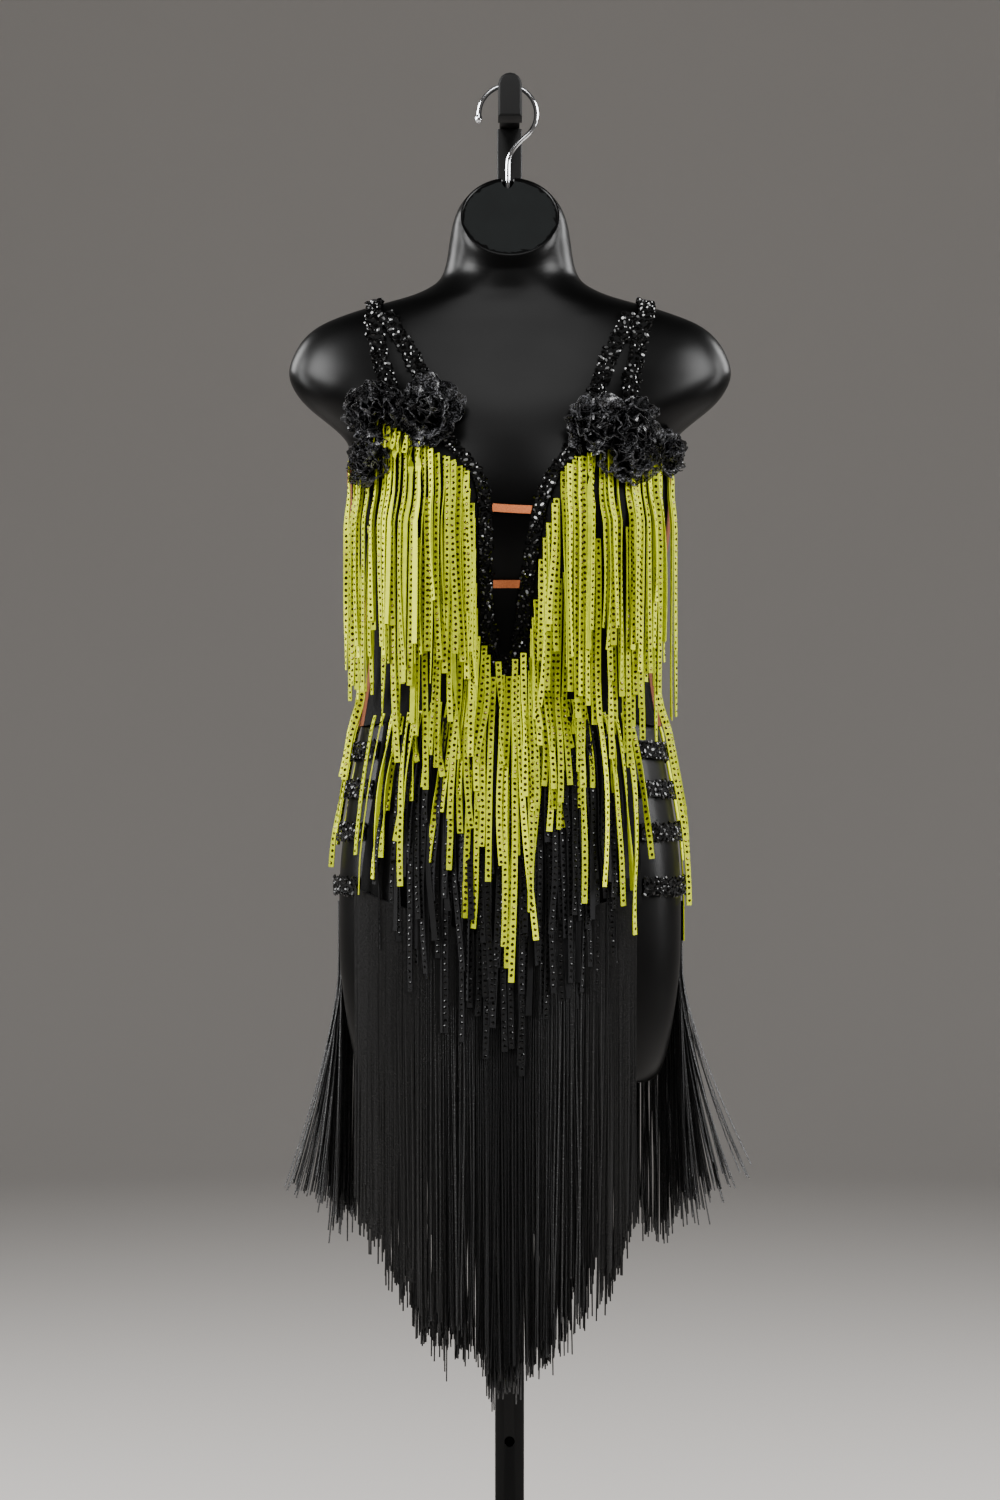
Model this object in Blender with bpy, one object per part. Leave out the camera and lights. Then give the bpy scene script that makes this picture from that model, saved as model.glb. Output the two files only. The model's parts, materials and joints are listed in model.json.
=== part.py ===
"""Latin dance dress on a limbless hanging form and its telescoping stand.

Metres, +Z up.  The dress faces -Y and its left sleeve side as worn is at +X.  The origin is the
centre of the base plate's underside.  Every piece of cloth is a wall that lies just off the form;
every fringe is one node, its strips fused at their roots into a narrow backing.
"""
import bmesh
import bpy
import math
import random
from mathutils import Vector

MM = 0.001
SEAM = 0.3 * MM              # space between two pieces that meet

# Cloth and trim, all measured out from the form's skin
SKIN = 2.1 * MM              # inner face of every piece worn on the form
STRAP_SKIN = 1.9 * MM        # inner face of the straps, which carry the dress
CLOTH = 1.3 * MM             # stretch cloth with its lining
TRIM = 2.2 * MM              # cloth band with its stones
TRIM_WIDTH = 12 * MM
STRAP_WIDTH = 14 * MM
STRAP_END_GAP = 0.9 * MM     # a strap's square end meets the bodice's curved edge
BAND_WIDTH = 15 * MM
BAR_HEIGHT = 7 * MM
BAR_SKIN = 3.6 * MM          # the bars are taut, so they stand off the form between the breasts
RIBBON_WIDTH = 5.2 * MM      # flat studded fringe ribbon
LOCK_WIDTH = 4.2 * MM        # lock of thin chainette fringe
BACKING_HEIGHT = 6 * MM
FRINGE_THICK = 1.5 * MM
FRINGE_BASE = SKIN + CLOTH + 0.9 * MM
WAIST_GAP = 0.6 * MM         # bodice and skirt meet along a curved seam
STRAND_ERROR = 0.6 * MM      # how far a strand's straight runs may leave its true path

# Stand
PLATE_SIDE = 0.38
PLATE_THICK = 0.006
PLATE_CORNER = 0.020
POST_Y = 0.158               # the post stands behind the form
OUTER_SIDE = 28 * MM
OUTER_WALL = 1.6 * MM
OUTER_TOP = 1.060
INNER_SIDE = OUTER_SIDE - 2 * OUTER_WALL - 2 * SEAM
INNER_WALL = 2.2 * MM
INNER_BOTTOM = 0.830
INNER_TOP = 1.5965
ARM_SIDE = INNER_SIDE - 2 * INNER_WALL - 2 * SEAM
ARM_BOTTOM = 1.5970
ARM_TOP = 1.6020
SLEEVE_WIDTH = 22 * MM
SLEEVE_BOTTOM = 1.5800
SLEEVE_BACK = 0.022           # the sleeve ends here, behind the hook
SADDLE_TOP = 1.6082
LIP_TOP = 1.6200
STOP_HOLE_Z = 0.334
STOP_HOLE = 10 * MM

# Hook
HOOK_X = -2 * MM
HOOK_Y = 2 * MM
HOOK_WIRE = 4.5 * MM
HOOK_BALL = 7.4 * MM
HOOK_STEM = ((0.0, 1.5330), (0.0, 1.5400), (0.0015, 1.5465), (0.0060, 1.5535))   # across, height
HOOK_FIRST = -62             # degrees where the loop starts and ends, from +X
HOOK_LAST = 183
HOOK_BALL_PROFILE = ((0.14, 0.88), (0.43, 1.00), (0.73, 0.79), (0.89, 0.36))     # along, width shares
HOOK_RADIUS = 26.7 * MM
HOOK_CENTRE_Z = SADDLE_TOP + 2 * SEAM + HOOK_WIRE / 2 - HOOK_RADIUS

# Neck disc of the form
DISC_RADIUS = 0.0455
DISC_CENTRE = Vector((0.0, -0.025, 1.4866))
DISC_TILT = math.radians(59)

# Bust of the form
BUST_X = 0.078
BUST_Z = 1.203
BUST_SWELL = 0.040
BUST_SPREAD_X = 0.046
BUST_SPREAD_Z = 0.050

FORM_SECTIONS = (
    # height, half_width, front, back, squareness
    (0.6950, 0.1290, 0.0700, 0.0680, 2.2),
    (0.6980, 0.1350, 0.0750, 0.0730, 2.2),
    (0.7090, 0.1420, 0.0820, 0.0800, 2.2),
    (0.7300, 0.1470, 0.0865, 0.0860, 2.2),
    (0.7630, 0.1527, 0.0910, 0.0950, 2.2),
    (0.8150, 0.1580, 0.0960, 0.1060, 2.2),
    (0.8700, 0.1580, 0.1000, 0.1120, 2.2),
    (0.9200, 0.1545, 0.1010, 0.1080, 2.2),
    (0.9700, 0.1460, 0.0990, 0.0960, 2.2),
    (1.0200, 0.1370, 0.0920, 0.0800, 2.2),
    (1.0600, 0.1300, 0.0860, 0.0690, 2.2),
    (1.0950, 0.1270, 0.0830, 0.0650, 2.2),
    (1.1370, 0.1350, 0.0850, 0.0680, 2.3),
    (1.1750, 0.1410, 0.0890, 0.0720, 2.3),
    (1.2110, 0.1454, 0.0920, 0.0760, 2.3),
    (1.2470, 0.1470, 0.0930, 0.0800, 2.3),
    (1.2760, 0.1460, 0.0905, 0.0820, 2.3),
    (1.2880, 0.1546, 0.0885, 0.0820, 2.3),
    (1.3030, 0.1730, 0.0855, 0.0805, 2.3),
    (1.3180, 0.1930, 0.0815, 0.0780, 2.3),
    (1.3400, 0.2060, 0.0745, 0.0735, 2.3),
    (1.3560, 0.2030, 0.0690, 0.0700, 2.3),
    (1.3740, 0.1940, 0.0625, 0.0650, 2.3),
    (1.3880, 0.1790, 0.0570, 0.0610, 2.3),
    (1.3970, 0.1570, 0.0540, 0.0580, 2.3),
    (1.4050, 0.1325, 0.0515, 0.0560, 2.3),
    (1.4125, 0.1020, 0.0500, 0.0540, 2.3),
    (1.4176, 0.0865, 0.0490, 0.0530, 2.2),
    (1.4240, 0.0736, 0.0485, 0.0520, 2.1),
    (1.4315, 0.0635, 0.0480, 0.0510, 2.0),
)

FORM_RING_STEP = 0.030
FORM_DEPTH_SHARE = 0.65      # depth of the form's oval as a share of its width

NECK_SECTIONS = (
    # height, depth_centre, half_width, half_depth, tilt_degrees
    (1.4480, 0.0000, 0.0585, 0.0490, 14.1),
    (1.4595, -0.0025, 0.0570, 0.0500, 24.8),
    (1.4705, -0.0069, 0.0553, 0.0507, 35.5),
    (1.4794, -0.0138, 0.0530, 0.0500, 46.2),
    (1.4847, -0.0204, 0.0498, 0.0482, 54.4),
)

# Front edges of the dress; x and height as seen from the front, read on the form's front
NECKLINE = {
    # side: rows of (height, x) down the middle of the stone trim
    "left": ((1.2700, -0.0420), (1.2562, -0.0338), (1.2429, -0.0276), (1.2225, -0.0236),
             (1.1711, -0.0226), (1.1214, -0.0208), (1.0868, -0.0152), (1.0690, -0.0105)),
    "right": ((1.2620, 0.0488), (1.2510, 0.0422), (1.2425, 0.0372), (1.2290, 0.0308), (1.2092, 0.0256),
              (1.1711, 0.0186), (1.1250, 0.0118), (1.0868, 0.0070), (1.0690, 0.0052)),
}
CENTRE_X = -0.003            # where the two halves of the bodice meet

STRAPS = {
    # name: rows of (height, x) from the bodice up to the shoulder
    "strap_left_outer": ((1.3010, -0.1005), (1.3130, -0.1034), (1.3319, -0.1110),
                         (1.3492, -0.1160), (1.3724, -0.1212)),
    "strap_right_outer": ((1.3010, 0.1062), (1.3130, 0.1072), (1.3292, 0.1090),
                          (1.3545, 0.1135), (1.3794, 0.1185)),
    "strap_left_inner": ((1.3010, -0.0660), (1.3200, -0.0735), (1.3434, -0.0831),
                         (1.3580, -0.0910), (1.3870, -0.1062)),
    "strap_right_inner": ((1.3010, 0.0690), (1.3130, 0.0733), (1.3252, 0.0785),
                          (1.3545, 0.0895), (1.3850, 0.1030)),
}
CREST_X = 0.1235             # where the outer strap crosses the top of the shoulder
STRAP_BACK_Z = 1.2460        # the outer strap ends at the top of the back

SIDE_SEAM_FRONT = math.radians(14)    # angles from the side line, towards the front
SIDE_SEAM_BACK = math.radians(25)     # and towards the back
BODICE_TOP_SIDE = 1.2560
BODICE_TOP_NECKLINE = 1.2600
BODICE_TOP_BACK = 1.2400
BODICE_ARCH = 0.0330
WAIST_CENTRE = 1.0560
WAIST_SIDE = 1.0200
SKIRT_HEM_CENTRE = 0.8100
SKIRT_HEM_SIDE = 0.8640
SKIRT_BACK_HEM = 0.8500
SKIRT_BACK_EDGE = math.radians(12)    # behind the side line
BACK_FLARE_RIGHT = 0.068     # how far the back's outermost strands swing out at each side
BACK_FLARE_LEFT = 0.052

SKIRT_EDGES = (
    # height, left_x, right_x of the front skirt panel
    (1.0200, -0.1120, 0.1090),
    (0.9600, -0.1210, 0.1130),
    (0.9100, -0.1290, 0.1150),
    (0.8640, -0.1340, 0.1170),
)

SIDE_BANDS = (
    # name, front_height, back_height
    ("1", 0.9990, 0.9960),
    ("2", 0.9640, 0.9610),
    ("3", 0.9250, 0.9230),
    ("4", 0.8760, 0.8740),
)

BARS = (
    # name, height at its left end, height at its right end
    ("upper", 1.2150, 1.2130),
    ("lower", 1.1480, 1.1480),
)

ROSES = (
    # name, x, height, seat, radius, crown, lobes, turn; the seat is the base's distance from the skin
    ("rose_left_1", -0.1140, 1.3040, 4.6 * MM, 0.0235, 0.021, 6, 0.2),
    ("rose_left_2", -0.0680, 1.3040, 4.6 * MM, 0.0235, 0.023, 7, 1.1),
    ("rose_left_3", -0.1170, 1.2590, 6.4 * MM, 0.0185, 0.019, 6, 2.0),
    ("rose_right_1", 0.0740, 1.2790, 5.0 * MM, 0.0225, 0.022, 7, 0.6),
    ("rose_right_2", 0.1110, 1.2980, 4.6 * MM, 0.0200, 0.022, 6, 1.7),
    ("rose_right_3", 0.1330, 1.2530, 6.4 * MM, 0.0150, 0.018, 5, 0.4),
    ("rose_right_4", 0.1050, 1.2520, 6.4 * MM, 0.0190, 0.020, 6, 2.6),
)

ROSE_PROFILE = (
    # radius_share, height_share, wave_share
    (0.32, 0.00, 0.00),
    (0.78, 0.16, 0.05),
    (1.00, 0.34, 0.13),
    (0.80, 0.52, 0.10),
    (0.54, 0.46, 0.05),
    (0.64, 0.86, 0.12),
    (0.36, 1.00, 0.08),
    (0.14, 0.74, 0.00),
)

MATERIALS = {
    # name: (colour, roughness, metallic)
    "black_cloth": ((0.010, 0.010, 0.011), 0.80, 0.0),
    "nude_mesh": ((0.58, 0.19, 0.08), 0.75, 0.0),
    "stone_trim": ((0.006, 0.006, 0.007), 0.15, 0.0),
    "organza": ((0.008, 0.008, 0.009), 0.65, 0.0),
    "lime_ribbon": ((0.42, 0.46, 0.05), 0.80, 0.0),
    "black_ribbon": ((0.008, 0.008, 0.009), 0.75, 0.0),
    "black_fringe": ((0.006, 0.006, 0.007), 0.60, 0.0),
    "form_plastic": ((0.008, 0.008, 0.009), 0.35, 0.0),
    "chrome": ((0.85, 0.85, 0.87), 0.08, 1.0),
    "painted_steel": ((0.010, 0.010, 0.010), 0.45, 0.0),
    "rubber": ((0.009, 0.009, 0.009), 0.80, 0.0),
}


# ---------------------------------------------------------------- helpers

def clear_scene():
    for old in list(bpy.data.objects):
        bpy.data.objects.remove(old, do_unlink=True)


def material(name):
    """Returns the named Principled material, made once."""
    if name in bpy.data.materials:
        return bpy.data.materials[name]
    colour, roughness, metallic = MATERIALS[name]
    made = bpy.data.materials.new(name)
    made.use_nodes = True
    shader = made.node_tree.nodes["Principled BSDF"]
    shader.inputs["Base Color"].default_value = (*colour, 1.0)
    shader.inputs["Roughness"].default_value = roughness
    shader.inputs["Metallic"].default_value = metallic
    return made


def mesh_object(name, points, faces, finish, smooth=True):
    mesh = bpy.data.meshes.new(name)
    mesh.from_pydata([tuple(p) for p in points], [], faces)
    mesh.validate()
    if smooth:
        mesh.shade_smooth()
    mesh.materials.append(material(finish))
    made = bpy.data.objects.new(name, mesh)
    bpy.context.scene.collection.objects.link(made)
    return made


def closed_object(name, points, faces, finish, smooth=True):
    """Makes a closed body with all its faces pointing out."""
    made = mesh_object(name, points, faces, finish, smooth)
    body = bmesh.new()
    body.from_mesh(made.data)
    bmesh.ops.recalc_face_normals(body, faces=body.faces)
    body.to_mesh(made.data)
    body.free()
    return made


def loft(name, rings, finish, looped=False, smooth=True):
    """Joins rings of equal length into one closed body, capped at both ends or joined in a loop."""
    size = len(rings[0])
    points = [p for ring in rings for p in ring]
    faces = []
    spans = len(rings) if looped else len(rings) - 1
    for k in range(spans):
        low, high = k * size, (k + 1) % len(rings) * size
        for i in range(size):
            j = (i + 1) % size
            faces.append((low + i, low + j, high + j, high + i))
    if not looped:
        last = (len(rings) - 1) * size
        faces.append(tuple(reversed(range(size))))
        faces.append(tuple(range(last, last + size)))
    return closed_object(name, points, faces, finish, smooth)


def thicken(made, thickness):
    """Turns a sheet into a wall that grows out along its normals."""
    wall = made.modifiers.new("wall", "SOLIDIFY")
    wall.thickness = thickness
    wall.offset = 1.0
    return made


def sheet(name, grid, thickness, finish):
    """Makes a wall from a grid of points, rows from the top down and columns from -X to +X."""
    columns = len(grid[0])
    points = [p for row in grid for p in row]
    faces = []
    for r in range(len(grid) - 1):
        for c in range(columns - 1):
            a = r * columns + c
            faces.append((a, a + columns, a + columns + 1, a + 1))
    return thicken(mesh_object(name, points, faces, finish), thickness)


def rounded_square(half_x, half_y, radius, z, centre=(0.0, 0.0), corner_points=3):
    """Points of a rounded rectangle, counter-clockwise from above."""
    ring = []
    for quarter, (sx, sy) in enumerate(((1, 1), (-1, 1), (-1, -1), (1, -1))):
        for k in range(corner_points):
            turn = math.pi / 2 * (quarter + k / (corner_points - 1))
            ring.append(Vector((centre[0] + sx * (half_x - radius) + radius * math.cos(turn),
                                centre[1] + sy * (half_y - radius) + radius * math.sin(turn), z)))
    return ring


def lerp(a, b, share):
    return a + (b - a) * share


def girth_turn(angle, depth_share):
    """Stretches or squeezes an angle as a circle turned into the form's oval would."""
    turned = math.atan2(math.sin(angle) * depth_share, math.cos(angle))
    return turned + 2 * math.pi * round((angle - turned) / (2 * math.pi))


def between(first, last, share):
    """An angle between two others, with even steps along the form's girth."""
    return girth_turn(lerp(girth_turn(first, 1 / FORM_DEPTH_SHARE), girth_turn(last, 1 / FORM_DEPTH_SHARE),
                           share), FORM_DEPTH_SHARE)


def bisect(function, low, high, steps=36):
    """Finds where a function that falls from positive to negative crosses zero."""
    for _ in range(steps):
        middle = (low + high) / 2
        if function(middle) > 0:
            low = middle
        else:
            high = middle
    return (low + high) / 2


class Curve:
    """A smooth curve through (key, value) rows, with no overshoot between them."""

    def __init__(self, rows):
        rows = sorted(rows)
        self.keys = [r[0] for r in rows]
        self.values = [r[1] for r in rows]
        steps = [(self.values[i + 1] - self.values[i]) / (self.keys[i + 1] - self.keys[i])
                 for i in range(len(rows) - 1)]
        inner = [2 * a * b / (a + b) if a * b > 0 else 0.0 for a, b in zip(steps, steps[1:])]
        self.slopes = [steps[0], *inner, steps[-1]]

    def __call__(self, key):
        if key <= self.keys[0]:
            return self.values[0]
        if key >= self.keys[-1]:
            return self.values[-1]
        i = max(k for k in range(len(self.keys) - 1) if self.keys[k] <= key)
        width = self.keys[i + 1] - self.keys[i]
        t = (key - self.keys[i]) / width
        return ((1 + 2 * t) * (1 - t) ** 2 * self.values[i] + t * (1 - t) ** 2 * width * self.slopes[i]
                + t * t * (3 - 2 * t) * self.values[i + 1] - t * t * (1 - t) * width * self.slopes[i + 1])


# ---------------------------------------------------------------- the form's skin

HALF_WIDTH = Curve([(s[0], s[1]) for s in FORM_SECTIONS])
FRONT = Curve([(s[0], s[2]) for s in FORM_SECTIONS])
BACK = Curve([(s[0], s[3]) for s in FORM_SECTIONS])
SQUARENESS = Curve([(s[0], s[4]) for s in FORM_SECTIONS])


def skin_radius(angle, height):
    """Distance from the form's axis to its skin; the angle runs from +X, and the front is at -90."""
    power = SQUARENESS(height)
    cosine, sine = math.cos(angle), math.sin(angle)
    depth = FRONT(height) if sine < 0 else BACK(height)
    radius = (abs(cosine / HALF_WIDTH(height)) ** power + abs(sine / depth) ** power) ** (-1 / power)
    if sine < 0:
        up = (height - BUST_Z) / BUST_SPREAD_Z
        swell = sum(math.exp(-((radius * cosine - x) / BUST_SPREAD_X) ** 2) for x in (BUST_X, -BUST_X))
        radius += BUST_SWELL * -sine * swell * math.exp(-up ** 2)
    return radius


def depth_inside(point):
    """How far a point stands out from the skin, measured level from the axis."""
    return math.hypot(point.x, point.y) - skin_radius(math.atan2(point.y, point.x), point.z)


def skin_normal(point):
    step = 0.5 * MM
    slope = Vector([depth_inside(point + step * axis) - depth_inside(point - step * axis)
                    for axis in (Vector((1, 0, 0)), Vector((0, 1, 0)), Vector((0, 0, 1)))]) / (2 * step)
    return slope


def settle(point, out):
    """Moves a point straight onto the skin, then out from it by the given distance."""
    place = Vector(point)
    for _ in range(4):
        slope = skin_normal(place)
        place -= slope * (depth_inside(place) / slope.length_squared)
    return place + skin_normal(place).normalized() * out


def skin_point(angle, height, out=0.0):
    radius = skin_radius(angle, height)
    place = Vector((radius * math.cos(angle), radius * math.sin(angle), height))
    return place + skin_normal(place).normalized() * out


def skin_angle(x, height, face=-1):
    """Angle of the skin at a given x, on its front (-1) or its back (1)."""
    turn = bisect(lambda t: skin_radius(face * (math.pi / 2 - t), height) * math.sin(t) - abs(x),
                  math.pi / 2, 0.0)
    turn = math.pi / 2 - turn
    return face * turn if x >= 0 else face * (math.pi - turn)


def front_angle(x, height):
    return skin_angle(x, height)


# ---------------------------------------------------------------- form, hook and stand

def form():
    columns = 28
    heights = [FORM_SECTIONS[0][0]]
    for section in FORM_SECTIONS[1:]:
        gap = section[0] - heights[-1]
        parts = math.ceil(gap / FORM_RING_STEP)
        heights += [section[0] - gap * (1 - (k + 1) / parts) for k in range(parts)]
    rings = []
    for height in heights:
        ring = []
        for k in range(columns):
            turn = 2 * math.pi * k / columns
            depth = FRONT(height) if math.sin(turn) < 0 else BACK(height)
            angle = math.atan2(math.sin(turn) * depth, math.cos(turn) * HALF_WIDTH(height))
            radius = skin_radius(angle, height)
            ring.append(Vector((radius * math.cos(angle), radius * math.sin(angle), height)))
        rings.append(ring)
    for height, depth_centre, half_width, half_depth, tilt in NECK_SECTIONS:
        rings.append(tilted_ring(Vector((0, depth_centre, height)), half_width, half_depth,
                                 math.radians(tilt), columns))
    facing = Vector((0, -math.sin(DISC_TILT), math.cos(DISC_TILT)))
    for radius, sunk in ((DISC_RADIUS, 0.0), (DISC_RADIUS - 1.2 * MM, 0.0), (DISC_RADIUS - 2 * MM, 0.8 * MM)):
        rings.append(tilted_ring(DISC_CENTRE - facing * sunk, radius, radius, DISC_TILT, columns))
    return loft("form", rings, "form_plastic")


def tilted_ring(centre, half_width, half_depth, tilt, columns):
    """An ellipse whose back edge is raised by the tilt."""
    ring = []
    for k in range(columns):
        turn = 2 * math.pi * k / columns
        reach = half_depth * math.sin(turn)
        ring.append(centre + Vector((half_width * math.cos(turn), reach * math.cos(tilt),
                                     reach * math.sin(tilt))))
    return ring


def hook():
    """A bent wire: a stem, a short S bend, three quarters of a loop and a ball at its tip."""
    seat = DISC_CENTRE.z + DISC_RADIUS * math.sin(DISC_TILT) + 0.2 * MM
    path = [Vector((HOOK_X + across, HOOK_Y, height)) for across, height in ((0.0, seat), *HOOK_STEM)]
    steps = 15
    for k in range(steps + 1):
        turn = math.radians(lerp(HOOK_FIRST, HOOK_LAST, k / steps))
        path.append(Vector((HOOK_X + HOOK_RADIUS * math.cos(turn), HOOK_Y,
                            HOOK_CENTRE_Z + HOOK_RADIUS * math.sin(turn))))
    radii = [HOOK_WIRE / 2] * len(path)
    tip = path[-1]
    heading = (path[-1] - path[-2]).normalized()
    for along, share in HOOK_BALL_PROFILE:
        path.append(tip + heading * along * HOOK_BALL)
        radii.append(HOOK_BALL / 2 * share)
    rings = []
    for i, place in enumerate(path):
        ahead = (path[min(i + 1, len(path) - 1)] - path[max(i - 1, 0)]).normalized()
        side = Vector((0, 1, 0))
        across = side.cross(ahead)
        rings.append([place + (side * math.cos(t) + across * math.sin(t)) * radii[i]
                      for t in (math.pi / 3 * k for k in range(6))])
    return loft("hook", rings, "chrome")


def square_tube(name, side, wall, bottom, top, finish):
    outer, inner = side / 2, side / 2 - wall
    rings = []
    for half, corner, height in ((outer, 2 * MM, bottom), (outer, 2 * MM, top),
                                 (inner, 1 * MM, top), (inner, 1 * MM, bottom)):
        rings.append(rounded_square(half, half, corner, height, (0.0, POST_Y)))
    return loft(name, rings, finish, looped=True, smooth=False)


def bore(target, radius, centre, axis, length):
    """Cuts a round hole through a piece."""
    bpy.ops.mesh.primitive_cylinder_add(vertices=16, radius=radius, depth=length, location=centre)
    cutter = bpy.context.active_object
    cutter.name = target.name + "_cutter"
    cutter.rotation_mode = "QUATERNION"
    cutter.rotation_quaternion = Vector((0, 0, 1)).rotation_difference(Vector(axis))
    cutter.hide_render = True
    cutter.display_type = "WIRE"
    cut = target.modifiers.new("hole", "BOOLEAN")
    cut.operation = "DIFFERENCE"
    cut.solver = "EXACT"
    cut.object = cutter


def stand():
    """Plate, two square tubes that slide, their clamp, and the arm that carries the hook."""
    rings = [rounded_square(PLATE_SIDE / 2, PLATE_SIDE / 2, PLATE_CORNER, z, corner_points=5)
             for z in (0.0, PLATE_THICK)]
    loft("base_plate", rings, "painted_steel", smooth=False)
    outer = square_tube("outer_tube", OUTER_SIDE, OUTER_WALL, PLATE_THICK + SEAM, OUTER_TOP, "painted_steel")
    bore(outer, STOP_HOLE / 2, (0, POST_Y - OUTER_SIDE / 2, STOP_HOLE_Z), (0, 1, 0), OUTER_WALL * 4)
    square_tube("inner_tube", INNER_SIDE, INNER_WALL, INNER_BOTTOM, INNER_TOP, "painted_steel")
    collar()
    knob()
    arm()
    sleeve()


COLLAR_HALF = OUTER_SIDE / 2 + 4 * MM
COLLAR_BOTTOM = OUTER_TOP - 0.036


def collar():
    inner = OUTER_SIDE / 2 + SEAM
    top = OUTER_TOP - 1 * MM
    rings = [rounded_square(half, half, corner, height, (0.0, POST_Y))
             for half, corner, height in ((COLLAR_HALF, 4 * MM, COLLAR_BOTTOM), (COLLAR_HALF, 4 * MM, top),
                                          (inner, 2 * MM, top), (inner, 2 * MM, COLLAR_BOTTOM))]
    loft("clamp_collar", rings, "painted_steel", looped=True, smooth=False)


def knob():
    """A turned thumb knob behind the collar, on its screw."""
    profile = ((0.0, 4.0), (8.0, 4.0), (8.3, 12.0), (11.0, 14.0), (20.0, 14.0), (22.0, 12.0))
    centre = Vector((0, POST_Y + COLLAR_HALF + SEAM, (COLLAR_BOTTOM + OUTER_TOP) / 2))
    rings = []
    for along, radius in profile:
        rings.append([centre + Vector((-radius * MM * math.cos(t), along * MM, radius * MM * math.sin(t)))
                      for t in (math.pi / 8 * k for k in range(16))])
    loft("clamp_knob", rings, "rubber")


ARM_FRONT = -1 * MM


def arm():
    """A flat bar whose plug sits in the inner tube, and which runs forward to the hook."""
    half = ARM_SIDE / 2
    back, front = POST_Y + half, POST_Y - half
    outline = ((front, INNER_TOP - 0.05), (back, INNER_TOP - 0.05), (back, ARM_TOP - 4 * MM),
               (back - 4 * MM, ARM_TOP), (ARM_FRONT, ARM_TOP), (ARM_FRONT, ARM_BOTTOM), (front, ARM_BOTTOM))
    rings = [[Vector((x, y, z)) for y, z in outline] for x in (half, -half)]
    loft("head_arm", rings, "painted_steel", smooth=False)


def sleeve():
    """A rubber cap on the arm's end: a saddle under the hook, with a lip in front of it."""
    def outline(y, half, top, bottom, round_top):
        ring = []
        for k in range(9):
            turn = math.pi * k / 8
            ring.append(Vector((half * math.cos(turn), y, top - round_top + round_top * math.sin(turn))))
        return ring + [Vector((-half, y, bottom)), Vector((half, y, bottom))]

    half, bottom = SLEEVE_WIDTH / 2, SLEEVE_BOTTOM
    pocket = ARM_SIDE / 2 + SEAM
    rings = [outline(-14 * MM, half - 2 * MM, LIP_TOP - 2 * MM, bottom + 2 * MM, half - 2 * MM),
             outline(-12 * MM, half, LIP_TOP, bottom, half),
             outline(-5 * MM, half, LIP_TOP, bottom, half),
             outline(-3 * MM, half, SADDLE_TOP, bottom, 7 * MM),
             outline(SLEEVE_BACK, half, SADDLE_TOP, bottom, 7 * MM),
             outline(SLEEVE_BACK, pocket, ARM_TOP + SEAM, ARM_BOTTOM - SEAM, 0.1 * MM),
             outline(ARM_FRONT - SEAM, pocket, ARM_TOP + SEAM, ARM_BOTTOM - SEAM, 0.1 * MM)]
    loft("head_sleeve", rings, "rubber")


# ---------------------------------------------------------------- the dress

def neckline_edge(side, height, shift):
    """x of a line beside the neckline trim's middle, on the side away from the opening."""
    line = Curve(NECKLINE[side])
    slope = (line(height + MM) - line(height - MM)) / (2 * MM)
    out = -1 if side == "left" else 1
    x = line(height) + out * shift * math.sqrt(1 + slope * slope)
    limit = CENTRE_X + out * (SEAM / 2)
    return min(x, limit) if side == "left" else max(x, limit)


def bodice_top(share):
    """Height of the bodice's front top edge, from the neckline (0) to the side seam (1)."""
    arch = BODICE_ARCH * math.sin(math.pi * min(1.0, share * 1.15))
    return lerp(BODICE_TOP_NECKLINE, BODICE_TOP_SIDE, share) + arch


def bodice_top_height(side, x):
    """Height of the bodice's top edge at a given x."""
    inner, outer = bodice_edges(side, bodice_top(0))

    def short_of(share):
        return abs(x) - abs(skin_point(between(inner, outer, share), bodice_top(share), SKIN).x)

    return bodice_top(bisect(short_of, 0.0, 1.0))


def bodice_edges(side, height):
    """Angles of the bodice front at its neckline trim and at its side seam."""
    inner = front_angle(neckline_edge(side, height, TRIM_WIDTH / 2 + 0.4 * MM), height)
    return inner, -SIDE_SEAM_FRONT if side == "right" else -math.pi + SIDE_SEAM_FRONT


def waist(angle):
    """Height of the waist seam, lowest at the sides and back."""
    front = max(0.0, -math.sin(angle))
    return lerp(WAIST_SIDE, WAIST_CENTRE, front ** 3)


def bodice_front(side):
    columns, rows = 12, 12
    grid = []
    for r in range(rows):
        v = r / (rows - 1)
        row = []
        edge_height = lerp(bodice_top(0), waist(math.radians(-90)), v)
        inner, outer = bodice_edges(side, edge_height)
        for c in range(columns):
            u = c / (columns - 1)
            angle = between(inner, outer, u)
            height = lerp(bodice_top(u), waist(angle), v)
            row.append(skin_point(angle, height, SKIN))
        grid.append(row if side == "right" else row[::-1])
    return sheet("bodice_front_" + side, grid, CLOTH, "black_cloth")


def wall_between(name, first, last, top, bottom, columns, rows, finish):
    """A wall of cloth round the form between two angles; top and bottom are functions of the angle."""
    grid = []
    for r in range(rows):
        row = []
        for c in range(columns):
            angle = between(first, last, c / (columns - 1))
            row.append(skin_point(angle, lerp(top(angle), bottom(angle), r / (rows - 1)), SKIN))
        grid.append(row)
    return sheet(name, grid, CLOTH, finish)


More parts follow.
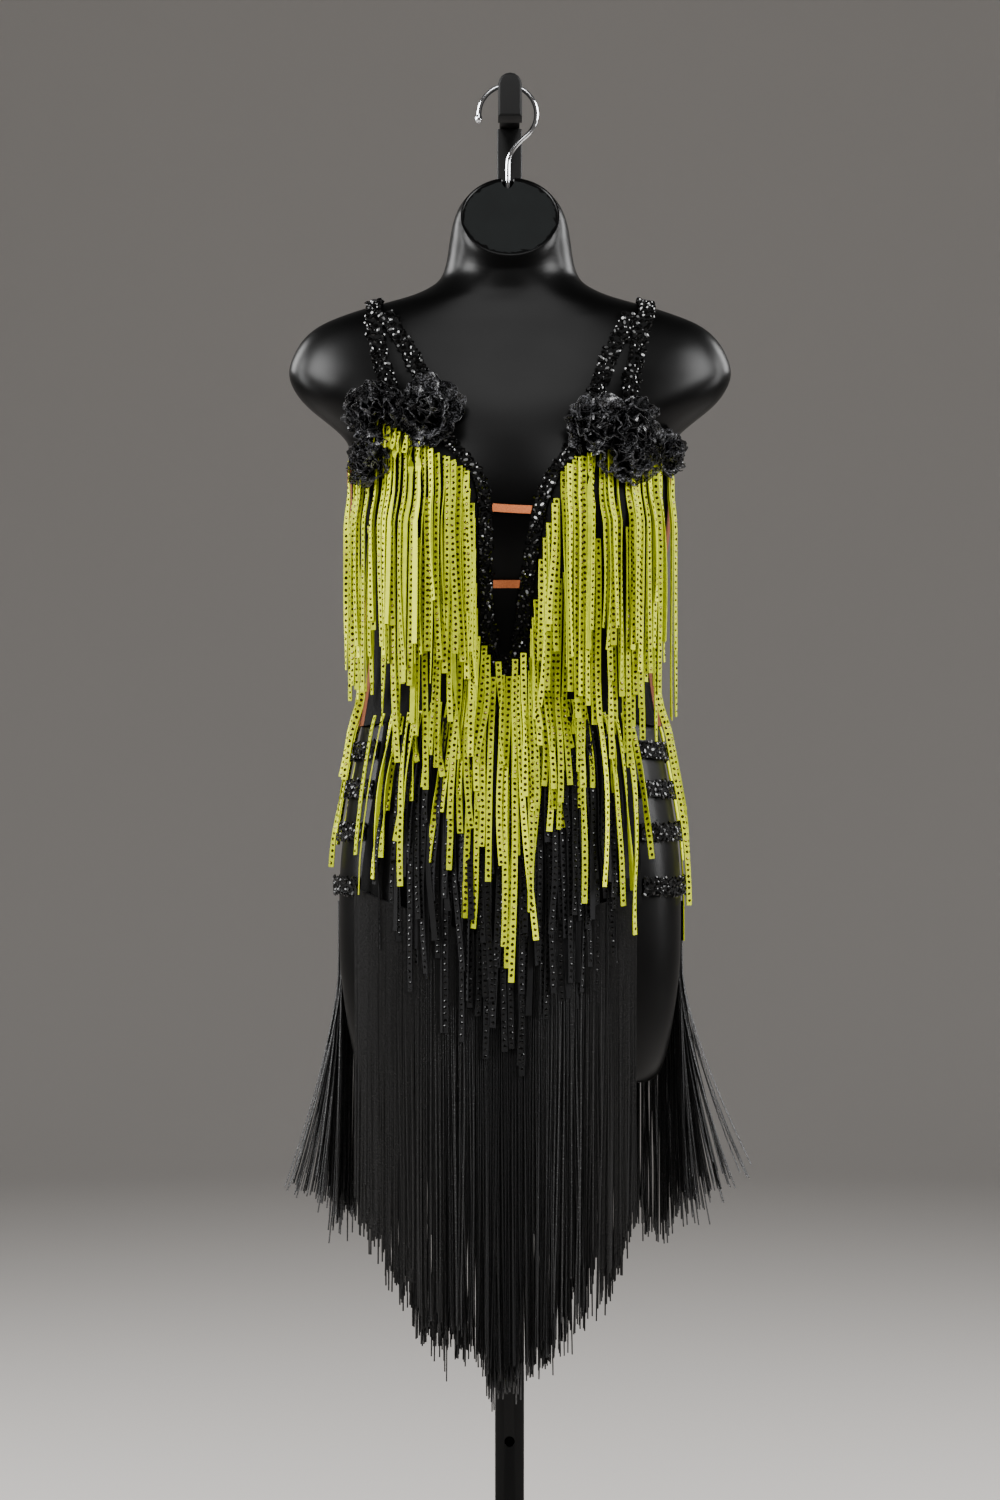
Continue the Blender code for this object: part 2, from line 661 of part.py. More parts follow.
def bodice_sides_and_back():
    """Nude mesh under each arm, and a plain back between them."""
    seam = SEAM / 0.145
    front, back = SIDE_SEAM_FRONT - seam, SIDE_SEAM_BACK - seam
    drop = BODICE_TOP_SIDE - BODICE_TOP_BACK

    def side_top(angle):
        towards_back = max(0.0, math.sin(angle)) / math.sin(SIDE_SEAM_BACK)
        return BODICE_TOP_SIDE - drop * min(1.0, towards_back)

    wall_between("bodice_side_right", -front, back, side_top, waist, 6, 8, "nude_mesh")
    wall_between("bodice_side_left", math.pi - back, math.pi + front, side_top, waist, 6, 8, "nude_mesh")
    wall_between("bodice_back", SIDE_SEAM_BACK, math.pi - SIDE_SEAM_BACK,
                 lambda angle: BODICE_TOP_BACK, waist, 12, 8, "black_cloth")


def skirt_front():
    columns, rows = 13, 9
    left = Curve([(r[0], r[1]) for r in SKIRT_EDGES])
    right = Curve([(r[0], r[2]) for r in SKIRT_EDGES])
    grid = []
    for r in range(rows):
        v = r / (rows - 1)
        edge_height = lerp(WAIST_SIDE, SKIRT_HEM_SIDE, v)
        first = front_angle(left(edge_height), edge_height)
        last = front_angle(right(edge_height), edge_height)
        row = []
        for c in range(columns):
            u = c / (columns - 1)
            angle = between(first, last, u)
            hem = lerp(SKIRT_HEM_SIDE, SKIRT_HEM_CENTRE, math.sin(math.pi * u))
            row.append(skin_point(angle, lerp(waist(angle) - WAIST_GAP, hem, v), SKIN))
        grid.append(row)
    return sheet("skirt_front", grid, CLOTH, "black_cloth")


def skirt_back():
    wall_between("skirt_back", SKIRT_BACK_EDGE, math.pi - SKIRT_BACK_EDGE,
                 lambda angle: waist(angle) - WAIST_GAP, lambda angle: SKIRT_BACK_HEM, 14, 9, "black_cloth")


def ribbon(name, path, width, thickness, finish, base=SKIN):
    """A flat band laid along a path of points on the skin."""
    grid = []
    for i, place in enumerate(path):
        ahead = (path[min(i + 1, len(path) - 1)] - path[max(i - 1, 0)]).normalized()
        out = skin_normal(place).normalized()
        across = out.cross(ahead).normalized()
        grid.append([settle(place + across * width * share, base) for share in (0.5, 0.0, -0.5)])
    return sheet(name, grid[::-1], thickness, finish)


def neckline_trim(side):
    line = Curve(NECKLINE[side])
    heights = [row[0] for row in NECKLINE[side]]
    count = 13
    path = []
    for k in range(count):
        height = lerp(max(heights), min(heights), k / (count - 1))
        path.append(skin_point(front_angle(line(height), height), height))
    return ribbon("neckline_trim_" + side, path[::-1], TRIM_WIDTH, TRIM, "stone_trim")


def strap(name):
    """An outer strap goes over the shoulder to the back; an inner one ends against it."""
    rows = STRAPS[name]
    line = Curve(rows)
    side = "left" if "left" in name else "right"
    x, high = rows[0][1], rows[-1][0]
    low = STRAP_END_GAP + max(bodice_top_height(side, x + share * STRAP_WIDTH / 2)
                              for share in (-1, -0.5, 0, 0.5, 1))
    outer = name.endswith("outer")
    heights = [lerp(low, high, k / 6) for k in range(7)]
    path = [skin_point(front_angle(line(h), h), h) for h in heights]
    if outer:
        sign = 1 if line(high) > 0 else -1
        start = abs(front_angle(abs(line(high)), high))
        for k in range(1, 11):
            angle = lerp(-start, start, k / 10)
            height = bisect(lambda h: skin_radius(angle, h) * math.cos(angle) - CREST_X, 1.36, 1.424)
            place = skin_point(angle, height)
            path.append(Vector((sign * place.x, place.y, place.z)))
        crest_end = path[-1].z
        for k in range(1, 8):
            height = lerp(crest_end, STRAP_BACK_Z, k / 7)
            x = lerp(CREST_X, CREST_X - 0.028, k / 7)
            place = skin_point(skin_angle(x, height, 1), height)
            path.append(Vector((sign * place.x, place.y, place.z)))
    return ribbon(name, path, STRAP_WIDTH, TRIM, "stone_trim", STRAP_SKIN)


def side_bands():
    left = Curve([(r[0], r[1]) for r in SKIRT_EDGES])
    right = Curve([(r[0], r[2]) for r in SKIRT_EDGES])
    count = 6
    for label, front_height, back_height in SIDE_BANDS:
        for side in ("left", "right"):
            edge = right(front_height) if side == "right" else left(front_height)
            start = front_angle(edge, front_height)
            stop = SKIRT_BACK_EDGE if side == "right" else -math.pi - SKIRT_BACK_EDGE
            clear = 0.9 * MM / 0.15
            turn = 1 if side == "right" else -1
            start, stop = start + turn * clear * 1.6, stop - turn * clear
            path = [skin_point(lerp(start, stop, k / (count - 1)),
                               lerp(front_height, back_height, k / (count - 1))) for k in range(count)]
            if side == "left":
                path = path[::-1]
            ribbon("side_band_%s_%s" % (side, label), path, BAND_WIDTH, TRIM, "stone_trim")


def bars():
    """Nude elastic bars that hold the neckline together, between the trims' inner edges."""
    for label, left_height, right_height in BARS:
        grid = []
        for rise in (BAR_HEIGHT / 2, -BAR_HEIGHT / 2):
            ends = [neckline_edge(side, height + rise, -(TRIM_WIDTH / 2 + 0.5 * MM))
                    for side, height in (("left", left_height), ("right", right_height))]
            row = []
            for k in range(5):
                height = lerp(left_height, right_height, k / 4) + rise
                row.append(skin_point(front_angle(lerp(*ends, k / 4), height), height, BAR_SKIN))
            grid.append(row)
        sheet("neckline_bar_" + label, grid, 1.2 * MM, "nude_mesh")


def rose(name, x, height, seat, radius, crown, lobes, turn):
    """A ruffled rosette: two rims of petals round a sunk heart."""
    base = skin_point(front_angle(x, height), height, seat)
    out = skin_normal(base).normalized()
    across = Vector((0, 0, 1)).cross(out).normalized()
    up = out.cross(across)
    segments = 14
    rings = []
    for reach, rise, wave in ROSE_PROFILE:
        ring = []
        for k in range(segments):
            angle = 2 * math.pi * k / segments
            ripple = math.sin(lobes * angle + turn)
            r = radius * reach * (1 - 0.5 * wave * (1 + math.cos(lobes * angle + turn)))
            lift = crown * (rise + wave * ripple)
            ring.append(base + (across * math.cos(angle) + up * math.sin(angle)) * r + out * lift)
        rings.append(ring)
    return loft(name, rings, "organza")


# ---------------------------------------------------------------- fringe

def hang(root, foot, clearance, flare):
    """Steps of a strand from its root down to its foot.

    It drops plumb, is pushed out where the skin plus its clearance is wider, and swings
    sideways by the flare at its foot."""
    angle = math.atan2(root.y, root.x)
    radius = math.hypot(root.x, root.y)
    drop = root.z - foot
    count = max(2, round(drop / 0.012))
    steps = []
    for k in range(count + 1):
        height = root.z - drop * k / count
        if height > FORM_SECTIONS[0][0]:
            skin = skin_point(angle, height)
            out = skin_normal(skin).normalized()
            level = max(0.4, math.hypot(out.x, out.y))
            radius = max(radius, skin_radius(angle, height) + clearance(height) / level)
        reach = radius + flare * max(0.0, (k / count - 0.25) / 0.75) ** 1.4
        steps.append(Vector((reach * math.cos(angle), reach * math.sin(angle), height)))
    steps[0] = root
    return thin_out(steps, STRAND_ERROR)


def thin_out(steps, error):
    """Keeps only the points that a line needs to stay within the given error."""
    first, last = steps[0], steps[-1]
    line = last - first
    worst, at = 0.0, None
    for i in range(1, len(steps) - 1):
        share = (steps[i] - first).dot(line) / line.length_squared
        off = (steps[i] - first - line * share).length
        if off > worst:
            worst, at = off, i
    if at is None or worst <= error:
        return [first, last]
    return thin_out(steps[:at + 1], error)[:-1] + thin_out(steps[at:], error)


def fringe(name, count, place, foot, clearance, width, finish, flare=lambda u: 0.0, seed=1, stagger=0.0):
    """Strands fused to a backing that runs along the skin.

    place(u) gives the backing's angle and top height, foot(u) the height of a strand's end and
    flare(u) how far its foot swings out, for u from 0 to 1 along the backing."""
    chance = random.Random(seed)
    samples = 60
    line = [skin_point(*place(k / samples), FRINGE_BASE) for k in range(samples + 1)]
    lengths = [0.0]
    for a, b in zip(line, line[1:]):
        lengths.append(lengths[-1] + (b - a).length)
    share_at = Curve([(length, k / samples) for k, length in enumerate(lengths)])
    pitch = (lengths[-1] - width) / (count - 1)
    points, faces = [], []
    for k in range(count):
        for end in (-0.5, 0.5):
            u = share_at(width / 2 + pitch * k + end * width)
            angle, top = place(u)
            for height in (top, top - BACKING_HEIGHT):
                for out in (FRINGE_BASE, FRINGE_BASE + FRINGE_THICK):
                    points.append(skin_point(angle, height, out))
    for s in range(2 * count - 1):
        a, b = 4 * s, 4 * (s + 1)
        faces.append((a, a + 1, b + 1, b))                  # top
        faces.append((a + 1, a + 3, b + 3, b + 1))          # outer face
        faces.append((a + 2, a, b, b + 2))                  # inner face
        if s % 2:
            faces.append((a + 3, a + 2, b + 2, b + 3))      # underside between two strands
    faces.append((0, 2, 3, 1))
    last = 4 * (2 * count - 1)
    faces.append((last, last + 1, last + 3, last + 2))
    for k in range(count):
        a, b = 8 * k, 8 * k + 4
        ring = [a + 2, a + 3, b + 3, b + 2]
        corners = [points[i] for i in ring]
        root = (corners[0] + corners[3]) / 2
        u = share_at(width / 2 + pitch * k)
        end = foot(u) + stagger * (chance.random() - 0.5) * 2
        for step in hang(root, end, clearance, flare(u))[1:]:
            base = len(points)
            points += [corner + (step - root) for corner in corners]
            below = [base, base + 1, base + 2, base + 3]
            for i in range(4):
                j = (i + 1) % 4
                faces.append((ring[i], below[i], below[j], ring[j]))
            ring = below
        faces.append(tuple(reversed(ring)))
    return closed_object(name, points, faces, finish, smooth=False)


def layered(*rows):
    """Clearance of a tier from the skin, from rows of (height, millimetres)."""
    return Curve([(height, out * MM) for height, out in rows])


HEM_CLEARANCE = layered((0.800, 4.1), (0.900, 4.1))


def front_place(edge, top):
    """A backing across the front: edge(u) is its x and top(u) its height."""
    return lambda u: (front_angle(edge(u), top(u)), top(u))


def fringes():
    bust_fringes()
    waist_fringes()
    hem_fringes()
    back_fringes()


def bust_fringes():
    """Two tiers of lime ribbons on each side: from the bust's top, and from beside the neckline."""
    over_bust = layered((1.228, 4.1), (1.195, 9.0))
    over_waist = layered((1.100, 4.1), (1.062, 6.9), (1.010, 11.0))
    for side, sign in (("right", 1), ("left", -1)):
        lift = 0.0 if side == "right" else 4.5 * MM
        crest = Curve(((0.0, 1.2480), (0.3, 1.2630 + lift), (0.6, 1.2620 + lift), (1.0, 1.2450)))
        start = neckline_edge(side, crest(0), TRIM_WIDTH / 2 + 3 * MM)
        reach = Curve(((0.0, start), (1.0, sign * 0.1420)))
        foot = Curve(((0.0, 1.085), (0.35, 1.110), (0.7, 1.080), (1.0, 1.068)))
        fringe("lime_fringe_bust_" + side, 18, front_place(reach, crest), foot, over_bust,
               RIBBON_WIDTH, "lime_ribbon", seed=3 + sign, stagger=0.020)
        crest = Curve(((0.0, 1.0780), (0.25, 1.1500), (0.6, 1.1950), (1.0, 1.2000)))
        start = neckline_edge(side, crest(0), TRIM_WIDTH / 2 + 3 * MM)
        reach = Curve(((0.0, start), (0.25, sign * 0.0400), (0.6, sign * 0.0850), (1.0, sign * 0.1290)))
        foot = Curve(((0.0, 0.975), (0.3, 0.985), (0.7, 1.030), (1.0, 1.050)))
        fringe("lime_fringe_waist_" + side, 13, front_place(reach, crest), foot, over_waist,
               RIBBON_WIDTH, "lime_ribbon", seed=7 + sign, stagger=0.018)


def waist_fringes():
    """The longest lime tier, from the waist seam, and the black studded tier under it."""
    over_hips = layered((1.015, 4.1), (0.975, 7.4), (0.945, 7.6), (0.900, 10.4))
    reach = Curve(((0.0, -0.1050), (1.0, 0.1050)))
    crest = Curve(((0.0, 1.0180), (0.5, 1.0460), (1.0, 1.0180)))
    foot = Curve(((0.0, 0.890), (0.25, 0.885), (0.5, 0.800), (0.75, 0.875), (1.0, 0.865)))
    fringe("lime_fringe_skirt_front", 21, front_place(reach, crest), foot, over_hips,
           RIBBON_WIDTH, "lime_ribbon", seed=11, stagger=0.022)
    over_hem = layered((0.920, 4.1), (0.880, 7.4))
    reach = Curve(((0.0, -0.1160), (1.0, 0.1080)))
    crest = Curve(((0.0, 0.9600), (0.5, 0.9500), (1.0, 0.9600)))
    foot = Curve(((0.0, 0.820), (0.5, 0.720), (1.0, 0.790)))
    fringe("black_ribbon_fringe_front", 19, front_place(reach, crest), foot, over_hem,
           RIBBON_WIDTH, "black_ribbon", seed=13, stagger=0.030)


def hem_fringes():
    """Thin black fringe from the front hem, longest in the middle."""
    reach = Curve(((0.0, -0.1310), (1.0, 0.1130)))
    crest = Curve(((0.0, 0.8740), (0.5, 0.8280), (1.0, 0.8740)))
    foot = Curve(((0.0, 0.590), (0.12, 0.530), (0.25, 0.470), (0.5, 0.430), (0.72, 0.455), (0.88, 0.500),
                  (1.0, 0.560)))
    fringe("black_fringe_front", 32, front_place(reach, crest), foot, HEM_CLEARANCE,
           LOCK_WIDTH, "black_fringe", seed=17, stagger=0.016,
           flare=lambda u: 0.012 * abs(2 * u - 1) ** 3)


def back_flare(share):
    """Swing of a back strand's foot: only the outermost strands stand out, and most at the right."""
    widest = BACK_FLARE_RIGHT if share < 0.5 else BACK_FLARE_LEFT
    return widest * abs(2 * share - 1) ** 6


def back_fringes():
    """A lime tier from the waist seam round the back, and thin black fringe from the back hem."""
    first, last = math.radians(4), math.radians(176)

    def waist_line(u):
        return lerp(first, last, u), WAIST_SIDE + 32 * MM

    foot = Curve(((0.0, 0.835), (0.12, 0.850), (0.5, 0.880), (0.88, 0.870), (1.0, 0.895)))
    fringe("lime_fringe_skirt_back", 19, waist_line, foot, layered((1.040, 4.1), (1.015, 7.4)),
           RIBBON_WIDTH, "lime_ribbon", seed=19, stagger=0.018)

    def hem_line(u):
        return lerp(math.radians(14), math.radians(166), u), SKIRT_BACK_HEM + 9 * MM

    foot = Curve(((0.0, 0.610), (0.08, 0.590), (0.25, 0.560), (0.5, 0.545), (0.75, 0.560), (0.92, 0.580),
                  (1.0, 0.595)))
    fringe("black_fringe_back", 37, hem_line, foot, HEM_CLEARANCE, LOCK_WIDTH, "black_fringe",
           seed=23, stagger=0.018, flare=back_flare)


def dress():
    for side in ("left", "right"):
        bodice_front(side)
        neckline_trim(side)
    bodice_sides_and_back()
    skirt_front()
    skirt_back()
    for name in STRAPS:
        strap(name)
    side_bands()
    bars()
    for row in ROSES:
        rose(*row)
    fringes()


clear_scene()
form()
hook()
stand()
dress()
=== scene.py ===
"""Looks of a latin dance dress on a limbless hanging form and its telescoping stand.

Metres, in the frame of the solids: +Z up, and the dress faces -Y.  Cloth panels, bands, the form
and the hook are finer copies of their solids.  Fringes, rosettes and stones are made here: a
strand hangs plumb from its root and rests on whatever is wider below it.
"""

import json
import math
import random

import bpy
import numpy as np
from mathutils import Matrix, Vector, noise
from mathutils.bvhtree import BVHTree

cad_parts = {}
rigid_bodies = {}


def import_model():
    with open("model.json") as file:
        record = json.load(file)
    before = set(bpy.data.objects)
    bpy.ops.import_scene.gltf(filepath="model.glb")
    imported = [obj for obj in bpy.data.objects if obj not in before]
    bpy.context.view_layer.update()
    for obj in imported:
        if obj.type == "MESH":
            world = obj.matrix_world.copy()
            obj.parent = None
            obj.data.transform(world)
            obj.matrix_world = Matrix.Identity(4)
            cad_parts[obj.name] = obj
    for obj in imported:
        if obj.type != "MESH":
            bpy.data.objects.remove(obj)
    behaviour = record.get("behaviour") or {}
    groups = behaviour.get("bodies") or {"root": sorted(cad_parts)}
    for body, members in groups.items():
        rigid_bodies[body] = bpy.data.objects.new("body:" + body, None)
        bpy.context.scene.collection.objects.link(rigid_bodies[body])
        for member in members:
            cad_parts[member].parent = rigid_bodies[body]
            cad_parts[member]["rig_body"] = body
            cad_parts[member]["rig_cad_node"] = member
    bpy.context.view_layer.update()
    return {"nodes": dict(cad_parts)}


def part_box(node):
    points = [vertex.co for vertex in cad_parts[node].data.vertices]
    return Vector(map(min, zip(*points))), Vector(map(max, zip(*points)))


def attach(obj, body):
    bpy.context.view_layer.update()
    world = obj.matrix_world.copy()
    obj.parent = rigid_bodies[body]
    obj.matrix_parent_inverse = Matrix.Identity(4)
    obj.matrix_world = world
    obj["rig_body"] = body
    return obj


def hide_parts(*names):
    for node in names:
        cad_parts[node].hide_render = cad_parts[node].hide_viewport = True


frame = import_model()

MM = 0.001
HUNG = "hung"                # the body that slides up and down with the form
STAND = "stand"

# Studded ribbon and chainette
RIBBON_WIDTH = 5.2 * MM
RIBBON_THICK = 0.9 * MM
RIBBON_LAYER = 2.4 * MM      # how much further out each layer of ribbons lies
RIBBON_STEPS = 26
STUD_PITCH = 5.5 * MM
STUD_RADIUS = 1.75 * MM
STUD_CROWN = 0.32 * MM
STUD_TILT = 0.20             # radians that a stud may lean by
CORD_RADIUS = 0.80 * MM
CORD_STEPS = 16
CORD_LAYER = 1.4 * MM

# How strands hang
GROUPS = ((0.020, 23, 0.7), (0.008, 61, 2.0))    # swing in radians, waves round the form, phase
FLARE_START = 0.25           # share of the way down at which a strand starts to swing out
FLARE_CURVE = 1.4
TWIST_SPREAD = 16            # degrees by which one ribbon is turned from the next
CURL_SPREAD = 20             # degrees by which a ribbon curls on its way down
EDGE_ON = 75                 # degrees that an edge-on ribbon turns by, halfway down

# The form's skin, sampled as distances from its axis
FORM_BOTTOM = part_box("form")[0].z
FORM_TOP = 1.43
TURN_STEP = math.radians(2)
HEIGHT_STEP = 5 * MM


# ---------------------------------------------------------------- materials

def srgb(colour):
    """Linear RGBA of an sRGB hex colour."""
    parts = [int(colour[i:i + 2], 16) / 255 for i in (1, 3, 5)]
    return (*[c / 12.92 if c <= 0.04045 else ((c + 0.055) / 1.055) ** 2.4 for c in parts], 1.0)


def node(tree, kind, inputs=None, **settings):
    """Adds a shader node; inputs maps its sockets to values or to other nodes' sockets."""
    made = tree.nodes.new(kind)
    for key, value in settings.items():
        setattr(made, key, value)
    for key, value in (inputs or {}).items():
        if isinstance(value, bpy.types.NodeSocket):
            tree.links.new(value, made.inputs[key])
        else:
            made.inputs[key].default_value = value
    return made


def finish(name, colour, roughness, **sockets):
    """Starts a material; returns its tree, its shader and the piece's own coordinates."""
    made = bpy.data.materials.new(name)
    made.use_nodes = True
    tree = made.node_tree
    tree.nodes.clear()
    shader = node(tree, "ShaderNodeBsdfPrincipled",
                  {"Base Color": srgb(colour), "Roughness": roughness,
                   **{key.replace("_", " "): value for key, value in sockets.items()}})
    node(tree, "ShaderNodeOutputMaterial", {"Surface": shader.outputs["BSDF"]})
    return tree, shader, node(tree, "ShaderNodeTexCoord").outputs["Object"]


def mottle(tree, shader, place, size, dark, light, detail=3.0):
    """Lets the colour drift between two tones over patches of the given size."""
    patches = node(tree, "ShaderNodeTexNoise", {"Vector": place, "Scale": 1 / size, "Detail": detail})
    tones = node(tree, "ShaderNodeMix", {"Factor": patches.outputs["Fac"], "A": srgb(dark), "B": srgb(light)},
                 data_type="RGBA")
    tree.links.new(tones.outputs[2], shader.inputs["Base Color"])
    return tones


def toned(tree, shader, ground, pale):
    """Leads a strand's colour from the ground to a paler one by the strand's own tone, which in ribbons also
    holds painted shade: darker in the inner layers.
    """
    tone_and_shade = node(tree, "ShaderNodeAttribute", attribute_name="tone_and_shade")
    own = node(tree, "ShaderNodeMix", {"Factor": tone_and_shade.outputs["Fac"], "A": ground, "B": srgb(pale)},
               data_type="RGBA")
    tree.links.new(own.outputs[2], shader.inputs["Base Color"])


def relief(tree, shader, height, depth):
    """Raises a pattern from the surface by a real depth."""
    raised = node(tree, "ShaderNodeBump", {"Height": height, "Distance": depth, "Strength": 1.0})
    tree.links.new(raised.outputs["Normal"], shader.inputs["Normal"])


def materials():
    # High-impact polystyrene, blow moulded: deep black with a satin skin and a faint grain
    tree, shader, place = finish("moulded_polystyrene", "#020202", 0.28, Specular_IOR_Level=0.12)
    wear = node(tree, "ShaderNodeTexNoise", {"Vector": place, "Scale": 1 / (45 * MM), "Detail": 4.0})
    satin = node(tree, "ShaderNodeMapRange", {"Value": wear.outputs["Fac"], "To Min": 0.26, "To Max": 0.36})
    tree.links.new(satin.outputs["Result"], shader.inputs["Roughness"])
    grain = node(tree, "ShaderNodeTexNoise", {"Vector": place, "Scale": 1 / (0.9 * MM), "Detail": 2.0})
    relief(tree, shader, grain.outputs["Fac"], 0.02 * MM)

    # The same polystyrene where the mould was etched: matt and a little greyer
    tree, shader, place = finish("etched_polystyrene", "#0d0f0f", 0.58, Specular_IOR_Level=0.12)
    mottle(tree, shader, place, 14 * MM, "#0a0c0c", "#101212")
    etching = node(tree, "ShaderNodeTexNoise", {"Vector": place, "Scale": 1 / (0.7 * MM), "Detail": 2.0})
    relief(tree, shader, etching.outputs["Fac"], 0.05 * MM)

    # Microfibre suede ribbon: a brushed nap; its colour drifts between two tones in patches, partly at random
    # and partly as painted sheen, paler where the nap lies the other way
    for name, dark, light, pale, sheen in (
            ("lime_faux_suede", "#747f00", "#bfc906", "#dde61c", 0.01),
            ("black_faux_suede", "#030303", "#0a0a0b", "#1b1b1d", 0.03)):
        tree, shader, place = finish(name, light, 0.90, Sheen_Weight=sheen, Sheen_Roughness=0.5,
                                     Specular_IOR_Level=0.2)
        tones = mottle(tree, shader, place, 7 * MM, dark, light)
        toned(tree, shader, tones.outputs[2], pale)
        # the nap's fibres are finer than a pixel, so they are drawn half a millimetre long
        nap = node(tree, "ShaderNodeTexNoise", {"Vector": place, "Scale": 1 / (0.5 * MM), "Detail": 2.0})
        relief(tree, shader, nap.outputs["Fac"], 0.10 * MM)

    # Cut glass on a gold foil: mirror-smooth facets that flash gold
    finish("foiled_glass", "#3c3414", 0.10, Metallic=0.9)
    # Jet glass: black right through, so that only its facets flash, in white
    finish("jet_glass", "#010101", 0.05, IOR=1.45)
    # Smoked glass is duller: its facets flash seldom
    finish("smoked_glass", "#010101", 0.14, IOR=1.30)

    # Rayon chainette: twisted yarn with a soft silky line along each cord
    tree, shader, place = finish("rayon_chainette", "#060606", 0.45, Sheen_Weight=0.05, Sheen_Roughness=0.4)
    toned(tree, shader, srgb("#010101"), "#0c0c0d")
    # the stitches are finer than a pixel, so they are drawn two millimetres long
    twist = node(tree, "ShaderNodeTexNoise", {"Vector": place, "Scale": 1 / (2 * MM), "Detail": 1.0})
    relief(tree, shader, twist.outputs["Fac"], 0.5 * MM)

    # Organza: crisp sheer weave; its crossings are finer than a pixel, so they are drawn 1.3 mm wide, and the
    # light that they catch one by one is painted into their colour as highlights
    tree, shader, place = finish("crisp_organza", "#0b0b0b", 0.34)
    weave = node(tree, "ShaderNodeTexVoronoi", {"Vector": place, "Scale": 1 / (1.3 * MM)})
    crossing = node(tree, "ShaderNodeSeparateColor", {"Color": weave.outputs["Color"]})
    # two crossings in five are painted pale grey as highlights, the rest stay near black and let a third of
    # what is behind them through
    threads_and_glints = node(tree, "ShaderNodeMapRange", {"Value": crossing.outputs[0], "From Min": 0.58})
    holes = node(tree, "ShaderNodeMapRange", {"Value": threads_and_glints.outputs["Result"], "To Min": 0.65,
                                              "To Max": 1.0})
    tree.links.new(holes.outputs["Result"], shader.inputs["Alpha"])
    painted_glints = node(tree, "ShaderNodeMix", {"Factor": threads_and_glints.outputs["Result"], "A": srgb("#050505"),
                                          "B": srgb("#66666a")}, data_type="RGBA")
    tree.links.new(painted_glints.outputs[2], shader.inputs["Base Color"])
    relief(tree, shader, threads_and_glints.outputs["Result"], 0.4 * MM)
    # The petals' rolled rims: the same weave wound so tight that it shows as a plain cord
    finish("organza_rim", "#121213", 0.50)

    # Stretch crepe: a matt knit with a pebbled surface
    tree, shader, place = finish("stretch_crepe", "#030303", 0.85, Specular_IOR_Level=0.12)
    mottle(tree, shader, place, 18 * MM, "#020202", "#050505")
    pebble = node(tree, "ShaderNodeTexVoronoi", {"Vector": place, "Scale": 1 / (1.1 * MM)})
    relief(tree, shader, pebble.outputs["Distance"], 0.12 * MM)

    # Nude power mesh and elastic: matt, with pin-sized holes that read as dark specks
    for name, dark, light, hole in (
            ("power_mesh", "#46210f", "#7a4222", 1.6 * MM),
            ("elastic", "#a0542e", "#c97548", 1.2 * MM)):
        tree, shader, place = finish(name, light, 0.80, Specular_IOR_Level=0.2)
        mottle(tree, shader, place, hole, dark, light, detail=1.0)
        knit = node(tree, "ShaderNodeTexVoronoi", {"Vector": place, "Scale": 1 / hole})
        relief(tree, shader, knit.outputs["Distance"], 0.15 * MM)

    # Nickel-chrome plate: a near mirror, a little hazed by handling
    tree, shader, place = finish("chrome_plate", "#e4e6ea", 0.07, Metallic=1.0)
    haze = node(tree, "ShaderNodeTexNoise", {"Vector": place, "Scale": 1 / (12 * MM), "Detail": 3.0})
    dulled = node(tree, "ShaderNodeMapRange", {"Value": haze.outputs["Fac"], "To Min": 0.04, "To Max": 0.12})
    tree.links.new(dulled.outputs["Result"], shader.inputs["Roughness"])

    # Powder-coated steel: baked polyester with its orange peel
    tree, shader, place = finish("powder_coat", "#030303", 0.42, Specular_IOR_Level=0.16)
    mottle(tree, shader, place, 60 * MM, "#020202", "#040404")
    peel = node(tree, "ShaderNodeTexNoise", {"Vector": place, "Scale": 1 / (1.6 * MM), "Detail": 2.0})
    relief(tree, shader, peel.outputs["Fac"], 0.08 * MM)

    # Moulded rubber: matt and dusty
    tree, shader, place = finish("moulded_rubber", "#040404", 0.72, Specular_IOR_Level=0.25)
    mottle(tree, shader, place, 9 * MM, "#020202", "#060606")

    # Studio paper, matt
    finish("sweep_paper", "#b7b3af", 0.95)


# ---------------------------------------------------------------- modelling helpers

def take(piece):
    """Selects this piece alone and makes it active."""
    if bpy.context.object and bpy.context.object.mode != "OBJECT":
        bpy.ops.object.mode_set(mode="OBJECT")
    bpy.ops.object.select_all(action="DESELECT")
    piece.select_set(True)
    bpy.context.view_layer.objects.active = piece


def modify(piece, kind, **settings):
    """Adds a modifier with its settings and applies it."""
    take(piece)
    made = piece.modifiers.new(kind.lower(), kind)
    for key, value in settings.items():
        setattr(made, key, value)
    bpy.ops.object.modifier_apply(modifier=made.name)


def merged_copy(source, name):
    """A copy of a solid, with its loose triangles joined into quads."""
    original = frame["nodes"][source]
    piece = original.copy()
    piece.data = original.data.copy()
    piece.name = name
    piece.parent = None
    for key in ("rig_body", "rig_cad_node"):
        del piece[key]
    piece.data.materials.clear()
    bpy.context.scene.collection.objects.link(piece)
    take(piece)
    bpy.ops.mesh.customdata_custom_splitnormals_clear()
    bpy.ops.object.mode_set(mode="EDIT")
    bpy.ops.mesh.select_all(action="SELECT")
    bpy.ops.mesh.remove_doubles(threshold=0.01 * MM)
    bpy.ops.mesh.tris_convert_to_quads(face_threshold=math.radians(60), shape_threshold=math.radians(80))
    bpy.ops.mesh.normals_make_consistent(inside=False)
    bpy.ops.object.mode_set(mode="OBJECT")
    return piece


